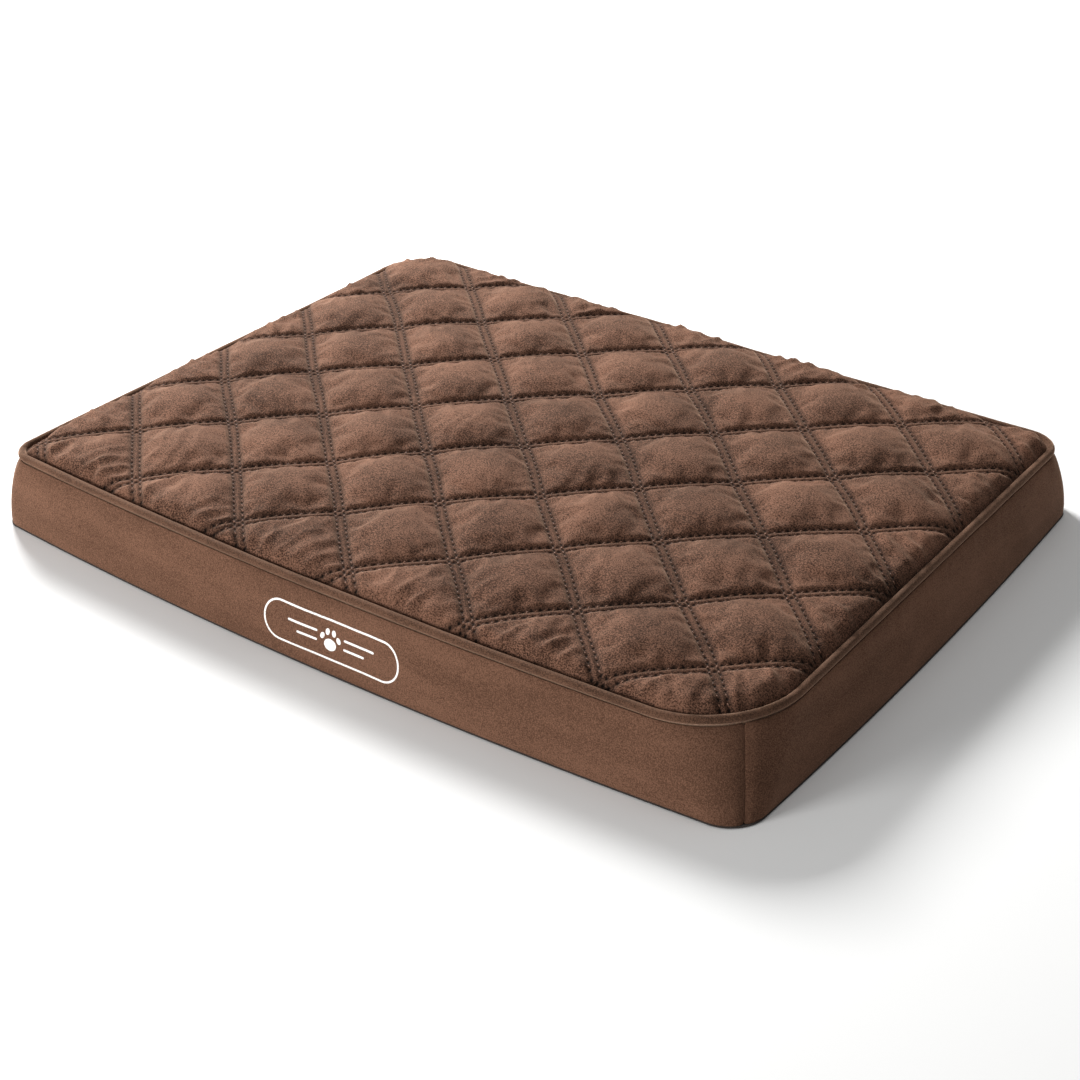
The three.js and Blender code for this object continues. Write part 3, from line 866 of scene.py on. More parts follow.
def sew(name, surface, middles, headings, aim, slot, stitch):
    """Lays a stitch at each middle, dropped on to the surface in the direction of aim."""
    graph = bpy.context.evaluated_depsgraph_get()
    tree = BVHTree.FromObject(surface, graph)
    aim = Vector(aim)
    spots = []
    for middle, heading in zip(middles, headings):
        ends = []
        for reach in (-0.4 * stitch["length"], 0.4 * stitch["length"]):
            ends.append(tree.ray_cast(Vector(middle + heading * reach), aim)[0])
        if None in ends:
            continue
        forward = (ends[1] - ends[0]).normalized()
        sideways = forward.cross(aim).normalized()
        upward = forward.cross(sideways)
        turn = Matrix.Rotation(stitch["skew"], 3, upward)
        basis = turn @ Matrix((forward, sideways, upward)).transposed()
        spots.append((basis, (ends[0] + ends[1]) / 2))
    piece = copy_shape(name, model_stitch(stitch["length"], stitch["radius"]), spots)
    finish_piece(piece, thread, slot, "cushion")
    return piece


thread = polyester_thread()
DOWN = (0, 0, -1)
for name, along, across in (
    ("rising", DIAMOND_B, DIAMOND_A), ("falling", DIAMOND_A, DIAMOND_B),
):
    middles, headings = row_stitches(along, across)
    sew(
        f"quilting_thread_{name}", quilt, middles, headings, DOWN, "velour_top", QUILTING_STITCH
    )

# %% [markdown]
# ## Border
# The border is four strips of velour, joined at the corners and sewn to the piping above and
# to the base cloth below. It stands up because the pad fills it. Each strip is a grid that
# follows the plan, belled out a little, pinched where it is sewn, and uneven as cloth is.

# %% Border
CLOTH = 1.2 * MM
SEAM_SHIFT = 2
SEAM_PINCH, PINCH_REACH = 1.6 * MM, 5 * MM
HEAD_TUCK, HEAD_REACH = 1.1 * MM, 3.5 * MM
FOOT_TUCK, FOOT_REACH = 0.8 * MM, 4 * MM
PUCKER, PUCKER_REACH = 0.35 * MM, 11 * MM
loop_stations = go_round(150, 24)
PANEL_STATIONS = len(loop_stations) // 4
seams = np.arange(5) * PANEL_STATIONS
seams[1] += SEAM_SHIFT
STATION_STEP = 4.4 * MM


def border_face(heights, picked, sunk):
    """Places of the border's outer face, or of one sunk behind it: one row of the picked
    stations for each height."""
    stations = loop_stations[picked % len(loop_stations)]
    from_seam = np.abs(picked[:, None] - seams).min(axis=1) * STATION_STEP
    pinch = sunk + SEAM_PINCH * np.exp(-((from_seam / PINCH_REACH) ** 2))
    rows = []
    for height in heights:
        down = border_height - height
        tuck = HEAD_TUCK * math.exp(-((down / HEAD_REACH) ** 2))
        tuck += FOOT_TUCK * math.exp(-((height / FOOT_REACH) ** 2))
        flat = plan_points(stations, height, BORDER_INSET)
        x, y = flat.T
        slow = waves(21, x + y, np.full_like(x, height), 170 * MM)
        quick = waves(22, x - y, np.full_like(x, height * 0.4), 42 * MM)
        gather = math.exp(-down / PUCKER_REACH) * min(1, down / (3 * MM))
        pucker = gather * waves(23, x + 1.3 * y, np.zeros_like(x), 17 * MM)
        middle = 4 * (height / border_height) * (down / border_height)
        inset = tuck + pinch + (0.9 * slow - 0.5 + 0.3 * quick) * MM * middle
        inset = inset + PUCKER * pucker
        inward = (plan_points(stations, height, BORDER_INSET + MM) - flat) / MM
        moved = flat + inward * inset[:, None]
        rows.append(np.column_stack([moved, np.full(len(flat), height)]))
    return rows


def border_panel(node, picked, low, high, row_count=18, sunk=0.0):
    """One strip of the border between two heights, at the picked stations."""
    rows = border_face(np.linspace(low, high, row_count), picked, sunk)
    piece = new_piece(f"{node}_velour", np.vstack(rows), grid_faces(len(rows), len(picked)))
    apply_modifier(piece, "SUBSURF", levels=1, render_levels=1)
    apply_modifier(piece, "SOLIDIFY", thickness=CLOTH, offset=-1)
    bevel(piece, 0.4 * MM, 2)
    smooth(piece)
    finish_piece(piece, border_velour, "velour_border", "cushion", node)
    return piece


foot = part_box("front_border")[0].z
head = border_height - SEAM_GAP
lower_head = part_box("back_border_lower")[1].z
upper_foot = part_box("back_border_upper")[0].z
for side, node in ((0, "front_border"), (1, "right_border"), (3, "left_border")):
    panel = border_panel(node, np.arange(seams[side], seams[side + 1] + 1), foot, head)
    if side == 0:
        front_panel = panel
back_stations = np.arange(seams[2], seams[3] + 1)
back_lower = border_panel("back_border_lower", back_stations, foot, lower_head)
back_upper = border_panel("back_border_upper", back_stations, upper_foot, head)

# %% [markdown]
# The zip is shorter than the back, so a short tab of the same velour closes the border beyond
# each end of it. The tabs take the stations that lie past the zip's ends.

# %% Tabs at the ends of the zip
TAB_DEPTH = 1.6 * MM
tab_low, tab_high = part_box("zip_end_tab_right")
back_x = plan_points(loop_stations[back_stations % len(loop_stations)], tab_low.z, 0)[:, 0]
for node, past in (
    ("zip_end_tab_right", back_x > tab_low.x),
    ("zip_end_tab_left", back_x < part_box("zip_end_tab_left")[1].x),
):
    border_panel(node, back_stations[past], tab_low.z, tab_high.z, 6, TAB_DEPTH)

# %% [markdown]
# The folded edges above and below the zip are each held by one row of stitches, 3 mm from the
# edge. They are the same stitch, laid on the back of the border.

# %% Stitches along the zip
TOPSTITCH_EDGE = 3 * MM
BEHIND_ALL = 0.4
FINE_PITCH = STITCH_PITCH * 0.6
zip_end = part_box("zip_tape_lower")[1].x
stitch_x = np.arange(-zip_end, zip_end, FINE_PITCH)
FINE_STITCH = {"length": 3.4 * MM, "radius": 0.35 * MM, "skew": math.radians(6)}


def sew_along_back(name, xs, height, surface, slot):
    middles = np.column_stack([xs, np.full(len(xs), BEHIND_ALL), np.full(len(xs), height)])
    headings = np.tile([1.0, 0, 0], (len(xs), 1))
    sew(name, surface, middles, headings, (0, -1, 0), slot, FINE_STITCH)


for name, height, surface in (
    ("zip_stitching_lower", lower_head - TOPSTITCH_EDGE, back_lower),
    ("zip_stitching_upper", upper_foot + TOPSTITCH_EDGE, back_upper),
):
    sew_along_back(name, stitch_x, height, surface, "velour_border")

# %% [markdown]
# ## Piping
# A strip of velour cut on the bias is folded round a cotton cord and sewn into the seam
# between the top and the border. It is a tube swept round the plan with two thin legs that
# hang inside. A bias strip creases slightly across the cord, which shows as faint slanted
# ripples.

# %% Piping
PIPING_RADIUS = 3.7 * MM
PIPING_CLOTH = 0.8 * MM
LEG_LENGTH = 13 * MM
LEG_SLIT = 0.05 * MM
SECTION_STEPS = 22
CREASE_PITCH = 8 * MM
piping_height = top_high.z - PIPING_RADIUS
cord_low, cord_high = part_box("piping_cord")
CORD_RADIUS = (cord_high.z - cord_low.z) / 2


def sweep_round(name, stations, section):
    """Sweeps a closed section round the plan. The section gives, for each station's travel
    and unevenness, a column of offsets outwards and upwards from the cord's middle."""
    middle = plan_points(stations, border_height, PIPING_RADIUS)
    outward = plan_points(stations, border_height, 0) - middle
    outward /= np.linalg.norm(outward, axis=1)[:, None]
    steps = np.diff(middle, axis=0, prepend=middle[-1:])
    travel = np.cumsum(np.linalg.norm(steps, axis=1))
    lift = 0.4 * MM * waves(32, middle[:, 0], middle[:, 1], 200 * MM, 4)
    rows = [
        np.column_stack([middle + outward * out[:, None], piping_height + lift + up])
        for out, up in section(travel, waves(31, middle[:, 0], middle[:, 1], 60 * MM))
    ]
    faces = tube_faces(len(rows), len(stations), closed=True)
    piece = new_piece(name, np.vstack(rows), faces)
    face_outwards(piece)
    smooth(piece)
    return piece


def turn_round(radius, leg):
    """Angles from the right side of the legs, over the top, to their left side."""
    gap = math.asin(leg / radius)
    return np.linspace(gap, 2 * math.pi - gap, SECTION_STEPS) - math.pi / 2


def piping_section(travel, uneven):
    """Round the outside from one leg to the other, then back round the inside."""
    rows = []
    for angle in turn_round(PIPING_RADIUS, PIPING_CLOTH):
        slant = travel / CREASE_PITCH * 2 * math.pi + 2 * angle
        crease = np.sin(slant) * max(math.sin(angle), 0)
        size = PIPING_RADIUS * (1 + 0.02 * crease + 0.03 * uneven)
        rows.append((size * math.cos(angle), size * math.sin(angle)))
    bore = PIPING_RADIUS - PIPING_CLOTH
    inside = turn_round(bore, LEG_SLIT)[::-1]
    corners = [(-PIPING_CLOTH, -LEG_LENGTH), (-LEG_SLIT, -LEG_LENGTH)]
    corners += [(bore * math.cos(angle), bore * math.sin(angle)) for angle in inside]
    corners += [(LEG_SLIT, -LEG_LENGTH), (PIPING_CLOTH, -LEG_LENGTH)]
    flat = np.ones_like(travel)
    return rows + [(flat * out, flat * up) for out, up in corners]


piping = sweep_round("piping_velour", loop_stations, piping_section)
finish_piece(piping, piping_velour, "velour_piping", "cushion", "piping_cover")

# %% [markdown]
# The cord in the piping is cotton, three strands laid together. Each strand is a thin tube
# that winds round the cord's middle line, so the cord has its real grooves.

# %% Cord in the piping
STRAND_LAY = 15 * MM
STRAND_RADIUS = CORD_RADIUS * 0.46
STRAND_SIDES = 6


def cotton():
    """Cotton cord, twisted and undyed: matt, off-white, with fine fibres along the strands."""
    hairs = {"Scale": 1200, "Detail": 3}
    stops = ((0.3, "#cfc6b4"), (0.7, "#f0ebdf"))
    return two_tone("twisted_cotton", hairs, stops, 0.9, bump=(0.5, 0.2 * MM))[0]


def strand_section(turn):
    """The section of one strand, which starts turned by an angle and winds as it goes."""
    def section(travel, uneven):
        laps = round(travel[-1] / STRAND_LAY)
        phase = travel / travel[-1] * laps * 2 * math.pi + turn
        ring = (CORD_RADIUS - STRAND_RADIUS) * np.array([np.cos(phase), np.sin(phase)])
        for angle in np.arange(STRAND_SIDES) * 2 * math.pi / STRAND_SIDES:
            yield ring + STRAND_RADIUS * np.array([[math.cos(angle)], [math.sin(angle)]])
    return section


def join_pieces(pieces, name):
    bpy.ops.object.select_all(action="DESELECT")
    for piece in pieces:
        piece.select_set(True)
    bpy.context.view_layer.objects.active = pieces[0]
    bpy.ops.object.join()
    pieces[0].name = name
    return pieces[0]


fine_stations = go_round(360, 48)
strands = [
    sweep_round(f"strand_{order}", fine_stations, strand_section(order * 2 * math.pi / 3))
    for order in range(3)
]
cord = join_pieces(strands, "piping_cord_strands")
finish_piece(cord, cotton(), "cotton_cord", "cushion", "piping_cord")

# %% [markdown]
# ## Layers of the quilt
# Under the velour lies the wadding, a loose polyester batt, and under that a thin backing
# cloth. The wadding fills whatever the velour leaves, so its upper face is measured off the
# underside of the simulated velour, and its lower face rests on the backing.

# %% Finishes of the padding
def fibrous(name, deep, light, grain_mm, depth_mm, voronoi=False):
    """Undyed fibres: a bonded batt or a nonwoven is matt and cloudy with fine threads, and
    open foam is matt with small round cells."""
    material, tree, shader = new_material(name)
    places = add_node(tree, "ShaderNodeTexCoord")["Object"]
    grain = {"Scale": 1000 / grain_mm, "Vector": places}
    kind = "ShaderNodeTexVoronoi" if voronoi else "ShaderNodeTexNoise"
    fine = add_node(tree, kind, grain)[0]
    coarse = add_node(tree, "ShaderNodeTexNoise", {"Scale": 90, "Detail": 6, "Vector": places})
    mix = add_node(tree, "ShaderNodeMath", {0: coarse["Fac"], 1: fine}, operation="MULTIPLY")[0]
    colour = add_node(tree, "ShaderNodeValToRGB", {0: mix}, ((0.1, deep), (0.4, light)))[0]
    bump = {"Strength": 0.6, "Distance": depth_mm * MM, "Height": fine}
    tree.links.new(colour, shader.inputs["Base Color"])
    tree.links.new(add_node(tree, "ShaderNodeBump", bump)[0], shader.inputs["Normal"])
    shader.inputs["Roughness"].default_value = 0.95
    shader.inputs["Sheen Weight"].default_value = 0.2
    return material


batt = fibrous("bonded_polyester_batt", "#d9d6cd", "#f7f6f2", 2.5, 1.2)
nonwoven = fibrous("spunbonded_polypropylene", "#cfccc2", "#efede6", 1.2, 0.2)
foam = fibrous("open_cell_polyurethane", "#cfc08f", "#efe6c2", 2.0, 0.5, voronoi=True)


# %% Wadding and backing
def filled_layer(name, inset, steps, over, under):
    """A closed layer between two heights, each worked out from the (x, y) of its points."""
    piece = flat_sheet(name, inset, steps)
    apply_modifier(piece, "SOLIDIFY", thickness=MM, offset=-1)
    places = get_places(piece)
    x, y = places[:, 0], places[:, 1]
    upper = places[:, 2] > -MM / 2
    shift_x, shift_y = wander(x, y)
    places[:, 2] = np.where(upper, over(x, y), under(x, y))
    places[:, 0] += shift_x
    places[:, 1] += shift_y
    set_places(piece, places)
    smooth(piece)
    return piece


BACKING_DROP = 4.2 * MM
BACKING_SAG = 3.9 * MM
BACKING_THICKNESS = 0.5 * MM
LAYER_GAP = 0.3 * MM
UNDER_VELOUR = 0.4 * MM
LEAST_WADDING = 0.8 * MM
UNDER_ROWS = 2.5 * MM


def backing_height(x, y):
    return row_height(x, y) - BACKING_DROP - BACKING_SAG * puff_share(x, y) * crown(x, y)


# The layers end a little inside the velour, and the probe is half the distance between two
# points of the wadding.
LAYER_INSET = 4 * MM
WADDING_PROBE = 4.4 * MM


def velour_underside(x, y):
    """The lowest underside of the velour near each point, so that nothing pokes through."""
    tree = BVHTree.FromObject(quilt, bpy.context.evaluated_depsgraph_get())
    shift_x, shift_y = wander(x, y)
    lowest = np.full(len(x), 1.0)
    for side_x, side_y in itertools.product((-WADDING_PROBE, 0, WADDING_PROBE), repeat=2):
        for order in range(len(x)):
            px = x[order] + shift_x[order] + side_x
            py = y[order] + shift_y[order] + side_y
            hit = tree.ray_cast(Vector((px, py, 0)), Vector((0, 0, 1)))[0]
            if hit:
                lowest[order] = min(lowest[order], hit.z)
    return np.where(lowest < 1, lowest, row_height(x, y) - UNDER_ROWS)


def wadding_top(x, y):
    most = velour_underside(x, y) - UNDER_VELOUR
    return np.maximum(most, backing_height(x, y) + LEAST_WADDING)


wadding = filled_layer(
    "quilt_wadding_batt", sheet_inset + LAYER_INSET, 10, wadding_top,
    lambda x, y: backing_height(x, y) + LAYER_GAP,
)
finish_piece(wadding, batt, "wadding", "cushion", "quilt_wadding")
backing = filled_layer(
    "quilt_backing_cloth", sheet_inset + LAYER_INSET, 6, backing_height,
    lambda x, y: backing_height(x, y) - BACKING_THICKNESS,
)
finish_piece(backing, nonwoven, "nonwoven", "cushion", "quilt_backing")


def plan_area(height, inset):
    """The area of the plan at a height and an inset, in square metres."""
    x, y = plan_points(outline_stations, height, inset).T
    return abs((x * np.roll(y, -1) - y * np.roll(x, -1)).sum()) / 2


def plan_size(height, inset):
    return tuple(np.ptp(plan_points(outline_stations, height, inset), axis=0))


plan_size(border_height, sheet_inset)
plan_area(border_height, sheet_inset)

# %% [markdown]
# ## Inner pad
# The pad is a foam slab with loose fibre on top, in a thin nonwoven bag of its own, so that
# the cover can come off and be washed. The bag is two halves that meet half way up. Each half
# is a sheet whose edge is extruded into a wall, and the cloth is given its thickness last.

# %% Liner
LINER_CLOTH = 0.4 * MM
LINER_RIM = 64 * MM
LINER_EASE = 10 * MM
LINER_WALL = 31 * MM
WALL_STEPS = 4
liner_low, liner_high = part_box("inner_liner_top")
tray_low, tray_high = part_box("inner_liner_bottom")
liner_inset = half_length - liner_high.x


def liner_height(x, y):
    """The crowned upper face of the bag, a little wrinkled."""
    fade = np.clip(rim_distance(x, y, liner_inset) / LINER_EASE, 0, 1)
    wrinkle = 0.5 * MM * waves(41, x, y, 90 * MM) * fade
    return LINER_RIM + (liner_high.z - MM - LINER_RIM) * crown(x, y) * fade + wrinkle


def tray_height(x, y):
    return np.full_like(x, tray_low.z + LINER_CLOTH)


def bag_half(name, height_at, wall_end):
    """One half of the bag: a sheet, and a wall that runs from its edge to a height."""
    piece = flat_sheet(name, liner_inset + LINER_CLOTH, 5)
    places = get_places(piece)
    places[:, 2] = height_at(places[:, 0], places[:, 1])
    set_places(piece, places)
    make_active(piece)
    bpy.ops.object.mode_set(mode="EDIT")
    bpy.ops.mesh.select_all(action="SELECT")
    bpy.ops.mesh.region_to_loop()
    rim = places[:, 2][rim_distance(places[:, 0], places[:, 1], liner_inset) < MM].mean()
    for _ in range(WALL_STEPS):
        bpy.ops.mesh.extrude_region_move(
            TRANSFORM_OT_translate={"value": (0, 0, (wall_end - rim) / WALL_STEPS)}
        )
    bpy.ops.object.mode_set(mode="OBJECT")
    apply_modifier(piece, "SOLIDIFY", thickness=LINER_CLOTH, offset=1 if wall_end < rim else -1)
    smooth(piece, SHARP_DEGREES)
    return piece


liner_cut = plan_size(border_height, liner_inset)
for name, height_at, end, node in (
    ("liner_upper_half", liner_height, liner_low.z + MM / 4, "inner_liner_top"),
    ("liner_lower_half", tray_height, tray_high.z - MM / 4, "inner_liner_bottom"),
):
    half = bag_half(name, height_at, end)
    finish_piece(half, nonwoven, "nonwoven", "cushion", node)
    plan_area(border_height, liner_inset) + 2 * sum(liner_cut) * LINER_WALL

# %% [markdown]
# The foam is cut from a block, so its faces are flat and its edges nearly sharp. The fibre on
# it is loose and lumpy, and it is what gives the bed its crown.

# %% Foam and fibre
foam_low, foam_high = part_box("foam_slab")
fibre_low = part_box("fibre_fill")[0]
core_inset = half_length - foam_high.x
FIBRE_GAP = 0.8 * MM
LEAST_FIBRE = 2 * MM


def plan_slab(name, plan_height, inset, low, high):
    """A flat slab cut to the plan: its outline is extruded from one height to the other."""
    flat = plan_points(go_round(40, 16), plan_height, inset)
    places = np.column_stack([flat, np.full(len(flat), low)])
    piece = new_piece(name, places, [range(len(flat))])
    make_active(piece)
    bpy.ops.object.mode_set(mode="EDIT")
    bpy.ops.mesh.select_all(action="SELECT")
    bpy.ops.mesh.extrude_region_move(TRANSFORM_OT_translate={"value": (0, 0, high - low)})
    bpy.ops.object.mode_set(mode="OBJECT")
    face_outwards(piece)
    return piece


foam_piece = plan_slab("foam_pad", border_height, core_inset, foam_low.z, foam_high.z)
bevel(foam_piece, 3 * MM, 3)
smooth(foam_piece, SHARP_DEGREES)
finish_piece(foam_piece, foam, "foam", "cushion", "foam_slab")


def fibre_top(x, y):
    lumps = MM * np.abs(waves(42, x, y, 60 * MM))
    most = liner_height(x, y) - LINER_CLOTH - FIBRE_GAP - lumps
    return np.maximum(most, fibre_low.z + LEAST_FIBRE)


fibre = filled_layer(
    "loose_fibre_fill", core_inset, 6, fibre_top, lambda x, y: np.full_like(x, fibre_low.z)
)
finish_piece(fibre, batt, "wadding", "cushion", "fibre_fill")

# %% [markdown]
# ## Base
# The underside is a plain woven polyester with small rubber dots printed on it, which keep
# the bed from sliding. The bed stands on the dots. One dot is modelled as a low disc with a
# rounded top, and it is repeated in a staggered pattern.

# %% Base cloth
# The scale at which a wave texture has one band in each millimetre.
WAVES_PER_METRE = 314
DOT_PITCH = 15 * MM
DOT_RADIUS = 2.3 * MM
DOT_HEIGHT = 0.6 * MM
DOT_MARGIN = 9 * MM
base_low, base_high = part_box("base_panel")


def woven(name, deep, light, thread_mm, directions):
    """Plain-woven polyester: two sets of threads, each with a painted highlight on its crown.
    Real threads are about a third of a millimetre apart, and are drawn coarser so that they show."""
    material, tree, shader = new_material(name)
    places = add_node(tree, "ShaderNodeTexCoord")["Object"]
    threads = []
    for direction in directions:
        wave = {"Scale": WAVES_PER_METRE / thread_mm, "Vector": places}
        bands = add_node(tree, "ShaderNodeTexWave", wave, bands_direction=direction)
        threads.append(bands["Fac"])
    both = {0: threads[0], 1: threads[1]}
    crowns = add_node(tree, "ShaderNodeMath", both, operation="MULTIPLY")[0]
    cloud = {"Scale": 60, "Detail": 5, "Vector": places}
    uneven = add_node(tree, "ShaderNodeTexNoise", cloud)["Fac"]
    # Painted highlight: the crowns of the threads are lighter, and a random cloudy tone is added.
    tone = {0: crowns, 1: 0.6, 2: uneven}
    total = add_node(tree, "ShaderNodeMath", tone, operation="MULTIPLY_ADD")[0]
    colour = add_node(tree, "ShaderNodeValToRGB", {0: total}, ((0.35, deep), (1, light)))[0]
    bump = {"Strength": 0.5, "Distance": 0.3 * MM, "Height": crowns}
    tree.links.new(colour, shader.inputs["Base Color"])
    tree.links.new(add_node(tree, "ShaderNodeBump", bump)[0], shader.inputs["Normal"])
    shader.inputs["Roughness"].default_value = 0.75
    shader.inputs["Sheen Weight"].default_value = 0.15
    return material


base = plan_slab("base_cloth", 0, BORDER_INSET, base_low.z + DOT_HEIGHT, base_high.z)
bevel(base, 0.2 * MM, 2)
smooth(base, SHARP_DEGREES)
base_cloth = woven("plain_woven_base", "#1c1714", "#3d332d", 1.4, "XY")
finish_piece(base, base_cloth, "non_slip_base", "cushion", "base_panel")
plan_size(0, BORDER_INSET)
plan_area(0, BORDER_INSET)


# %% Rubber dots
def rubber():
    """Printed rubber dots: nearly black, smooth but not shiny."""
    dust = {"Scale": 400, "Detail": 4}
    return two_tone("printed_rubber", dust, ((0.3, "#141312"), (0.7, "#2a2826")), 0.5)[0]


def model_dot():
    """One dot: a low disc whose lower face is narrowed and rounded."""
    bpy.ops.object.select_all(action="DESELECT")
    bpy.ops.mesh.primitive_cylinder_add(vertices=12, radius=DOT_RADIUS, depth=DOT_HEIGHT)
    dot = bpy.context.object
    bpy.ops.object.mode_set(mode="EDIT")
    bpy.ops.mesh.select_all(action="DESELECT")
    mesh = bmesh.from_edit_mesh(dot.data)
    for face in mesh.faces:
        face.select_set(face.normal.z < -0.9)
    bmesh.update_edit_mesh(dot.data)
    bpy.ops.transform.resize(value=(0.85, 0.85, 1))
    bpy.ops.mesh.bevel(offset=0.2 * MM, segments=2, affect="EDGES")
    bpy.ops.object.mode_set(mode="OBJECT")
    shape = (get_places(dot), [list(p.vertices) for p in dot.data.polygons])
    bpy.data.objects.remove(dot)
    return shape


across, deep = np.array(plan_size(0, 0)) / DOT_PITCH / 2
spots = []
for row in range(-int(deep * 1.2), int(deep * 1.2) + 1):
    for column in range(-int(across), int(across) + 1):
        x, y = (column + row % 2 / 2) * DOT_PITCH, row * DOT_PITCH * math.sqrt(3) / 2
        if rim_distance(x, y, DOT_MARGIN) > 0:
            spots.append((Matrix.Identity(3), (x, y, base_low.z + DOT_HEIGHT / 2)))
dots = copy_shape("non_slip_dots", model_dot(), spots)
finish_piece(dots, rubber(), "non_slip_base", "cushion")

# %% [markdown]
# ## Print on the front
# The front carries a small plain print: an outline with round ends, a paw and short lines.
# White ink is pressed through a screen on to the pile, so it is flat, matt and slightly
# broken up by the fibres. Its shapes are drawn flat, dropped on to the border and given the
# thickness of the ink.

# %% Printed badge
INK = 0.15 * MM
BEFORE_ALL = -0.5
badge_low, badge_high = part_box("printed_badge")
badge_middle = (badge_low + badge_high) / 2
badge_length = badge_high.x - badge_low.x
badge_height = badge_high.z - badge_low.z
OUTLINE_POINTS = 200
STROKE = 1.7 * MM
PAD_SIZE = (6.4 * MM, 5.2 * MM)
PAD_DROP = 4.4 * MM
TOE_SIZE = (2.1 * MM, 3 * MM)
# The middle of each toe in mm and its lean in radians, and the lines' heights and lengths in mm.
TOES = ((-8.6, 1.6, 0.5), (-3.3, 6.4, 0.15), (3.3, 6.4, -0.15), (8.6, 1.6, -0.5))
LINES = ((4, 30), (-4, 20))
LINE_START_MM = 15


def even_steps(outline, count):
    """The same closed outline with evenly spaced points."""
    closed = np.vstack([outline, outline[:1]])
    travel = np.concatenate([[0], np.cumsum(np.linalg.norm(np.diff(closed, axis=0), axis=1))])
    wanted = np.arange(count) / count * travel[-1]
    return np.column_stack([np.interp(wanted, travel, closed[:, axis]) for axis in (0, 1)])


def oval(half_length, half_height, straight=0, middle=(0, 0), turn=0.0, count=24):
    """An oval, with a straight stretch between its ends if asked, turned and moved."""
    angle = np.arange(96) / 96 * 2 * math.pi
    shift = np.where(np.cos(angle) >= 0, straight / 2, -straight / 2)
    flat = np.column_stack([half_length * np.cos(angle) + shift, half_height * np.sin(angle)])
    spin = np.array([[math.cos(turn), math.sin(turn)], [-math.sin(turn), math.cos(turn)]])
    return even_steps(flat @ spin + middle, count)


def filled(outline):
    """Rings that shrink towards the middle of an outline, closed by a small face."""
    middle = outline.mean(axis=0)
    rings = [middle + (outline - middle) * share for share in (1, 0.7, 0.4, 0.1)]
    count, inmost = len(outline), len(outline) * (len(rings) - 1)
    faces = grid_faces(len(rings), count, closed=True)
    return np.vstack(rings), faces + [range(inmost, inmost + count)]


def printed_shapes():
    """The outline, the paw's pad and toes, and the lines, each as flat places and faces."""
    radius = badge_height / 2
    straight = badge_length - badge_height
    outer = oval(radius, radius, straight, count=OUTLINE_POINTS)
    inner = oval(radius - STROKE, radius - STROKE, straight, count=OUTLINE_POINTS)
    yield np.vstack([outer, inner]), grid_faces(2, OUTLINE_POINTS, closed=True)
    yield filled(oval(*PAD_SIZE, middle=(0, -PAD_DROP)))
    for x_mm, z_mm, turn in TOES:
        place = (x_mm * MM, z_mm * MM)
        yield filled(oval(*TOE_SIZE, middle=place, turn=-turn, count=16))
    for side in (-1, 1):
        for z_mm, length_mm in LINES:
            place = (side * (LINE_START_MM + length_mm / 2) * MM, z_mm * MM)
            yield filled(oval(MM, MM, straight=length_mm * MM, middle=place, count=48))


def lay_print(name, shapes):
    """Drops flat shapes on to the front border and gives them the ink's thickness."""
    tree = BVHTree.FromObject(front_panel, bpy.context.evaluated_depsgraph_get())
    places, faces = [], []
    for flat, shape_faces in shapes:
        faces += [[corner + len(places) for corner in face] for face in shape_faces]
        for x, z in flat + [badge_middle.x, badge_middle.z]:
            hit = tree.ray_cast(Vector((x, BEFORE_ALL, z)), Vector((0, 1, 0)))[0]
            places.append(hit - Vector((0, INK, 0)))
    piece = new_piece(name, places, faces)
    mesh = bmesh.new()
    mesh.from_mesh(piece.data)
    for face in mesh.faces:
        if face.normal.y > 0:
            face.normal_flip()
    mesh.to_mesh(piece.data)
    mesh.free()
    apply_modifier(piece, "SOLIDIFY", thickness=INK * 1.5, offset=-1)
    return piece


def screen_ink():
    """Screen-printed plastisol ink: warm white and matt, broken up by the pile under it."""
    pile = {"Scale": 900, "Detail": 2}
    stops = ((0.3, "#b5a89e"), (0.45, "#f0ece7"))
    return two_tone("screen_printed_ink", pile, stops, 0.6, bump=(0.4, 0.2 * MM))[0]


badge = lay_print("badge_print", printed_shapes())
finish_piece(badge, screen_ink(), "transfer_print", "cushion", "printed_badge")

# %% [markdown]
# ## Care label
# The label is a strip of white satin, folded double and sewn on by its upper edge. It is
# blank. Satin has its threads floating on the face, so it shines along one direction.

# %% Care label
label_low, label_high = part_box("care_label")
label_width = label_high.x - label_low.x
label_drop = label_high.z - label_low.z
FOLD_RADIUS = 0.5 * MM
# How far each layer is from the border at its top, and how much further at its foot.
INNER_LAYER = (0.35 * MM, 1.2 * MM)
OUTER_LAYER = (0.75 * MM, 1.8 * MM)
LABEL_SWAY = 0.3 * MM
LABEL_SATIN = 0.15 * MM
label_x = np.linspace(label_low.x, label_high.x, 13)


def label_profile():
    """Distance from the border and height of the strip: down, round the fold, and up."""
    down = np.linspace(0, 1, 8)
    near, swell = INNER_LAYER
    for share in down:
        yield near + swell * share ** 2, label_high.z - share * (label_drop - FOLD_RADIUS)
    middle = near + swell + FOLD_RADIUS
    for angle in np.linspace(-math.pi / 2, math.pi / 2, 6)[1:-1] + math.pi:
        yield (
            middle + FOLD_RADIUS * math.sin(angle),
            label_low.z + FOLD_RADIUS - FOLD_RADIUS * math.cos(angle + math.pi),
        )
    near, swell = OUTER_LAYER
    for share in down[::-1]:
        yield near + swell * share ** 2, label_high.z - share * (label_drop - FOLD_RADIUS)


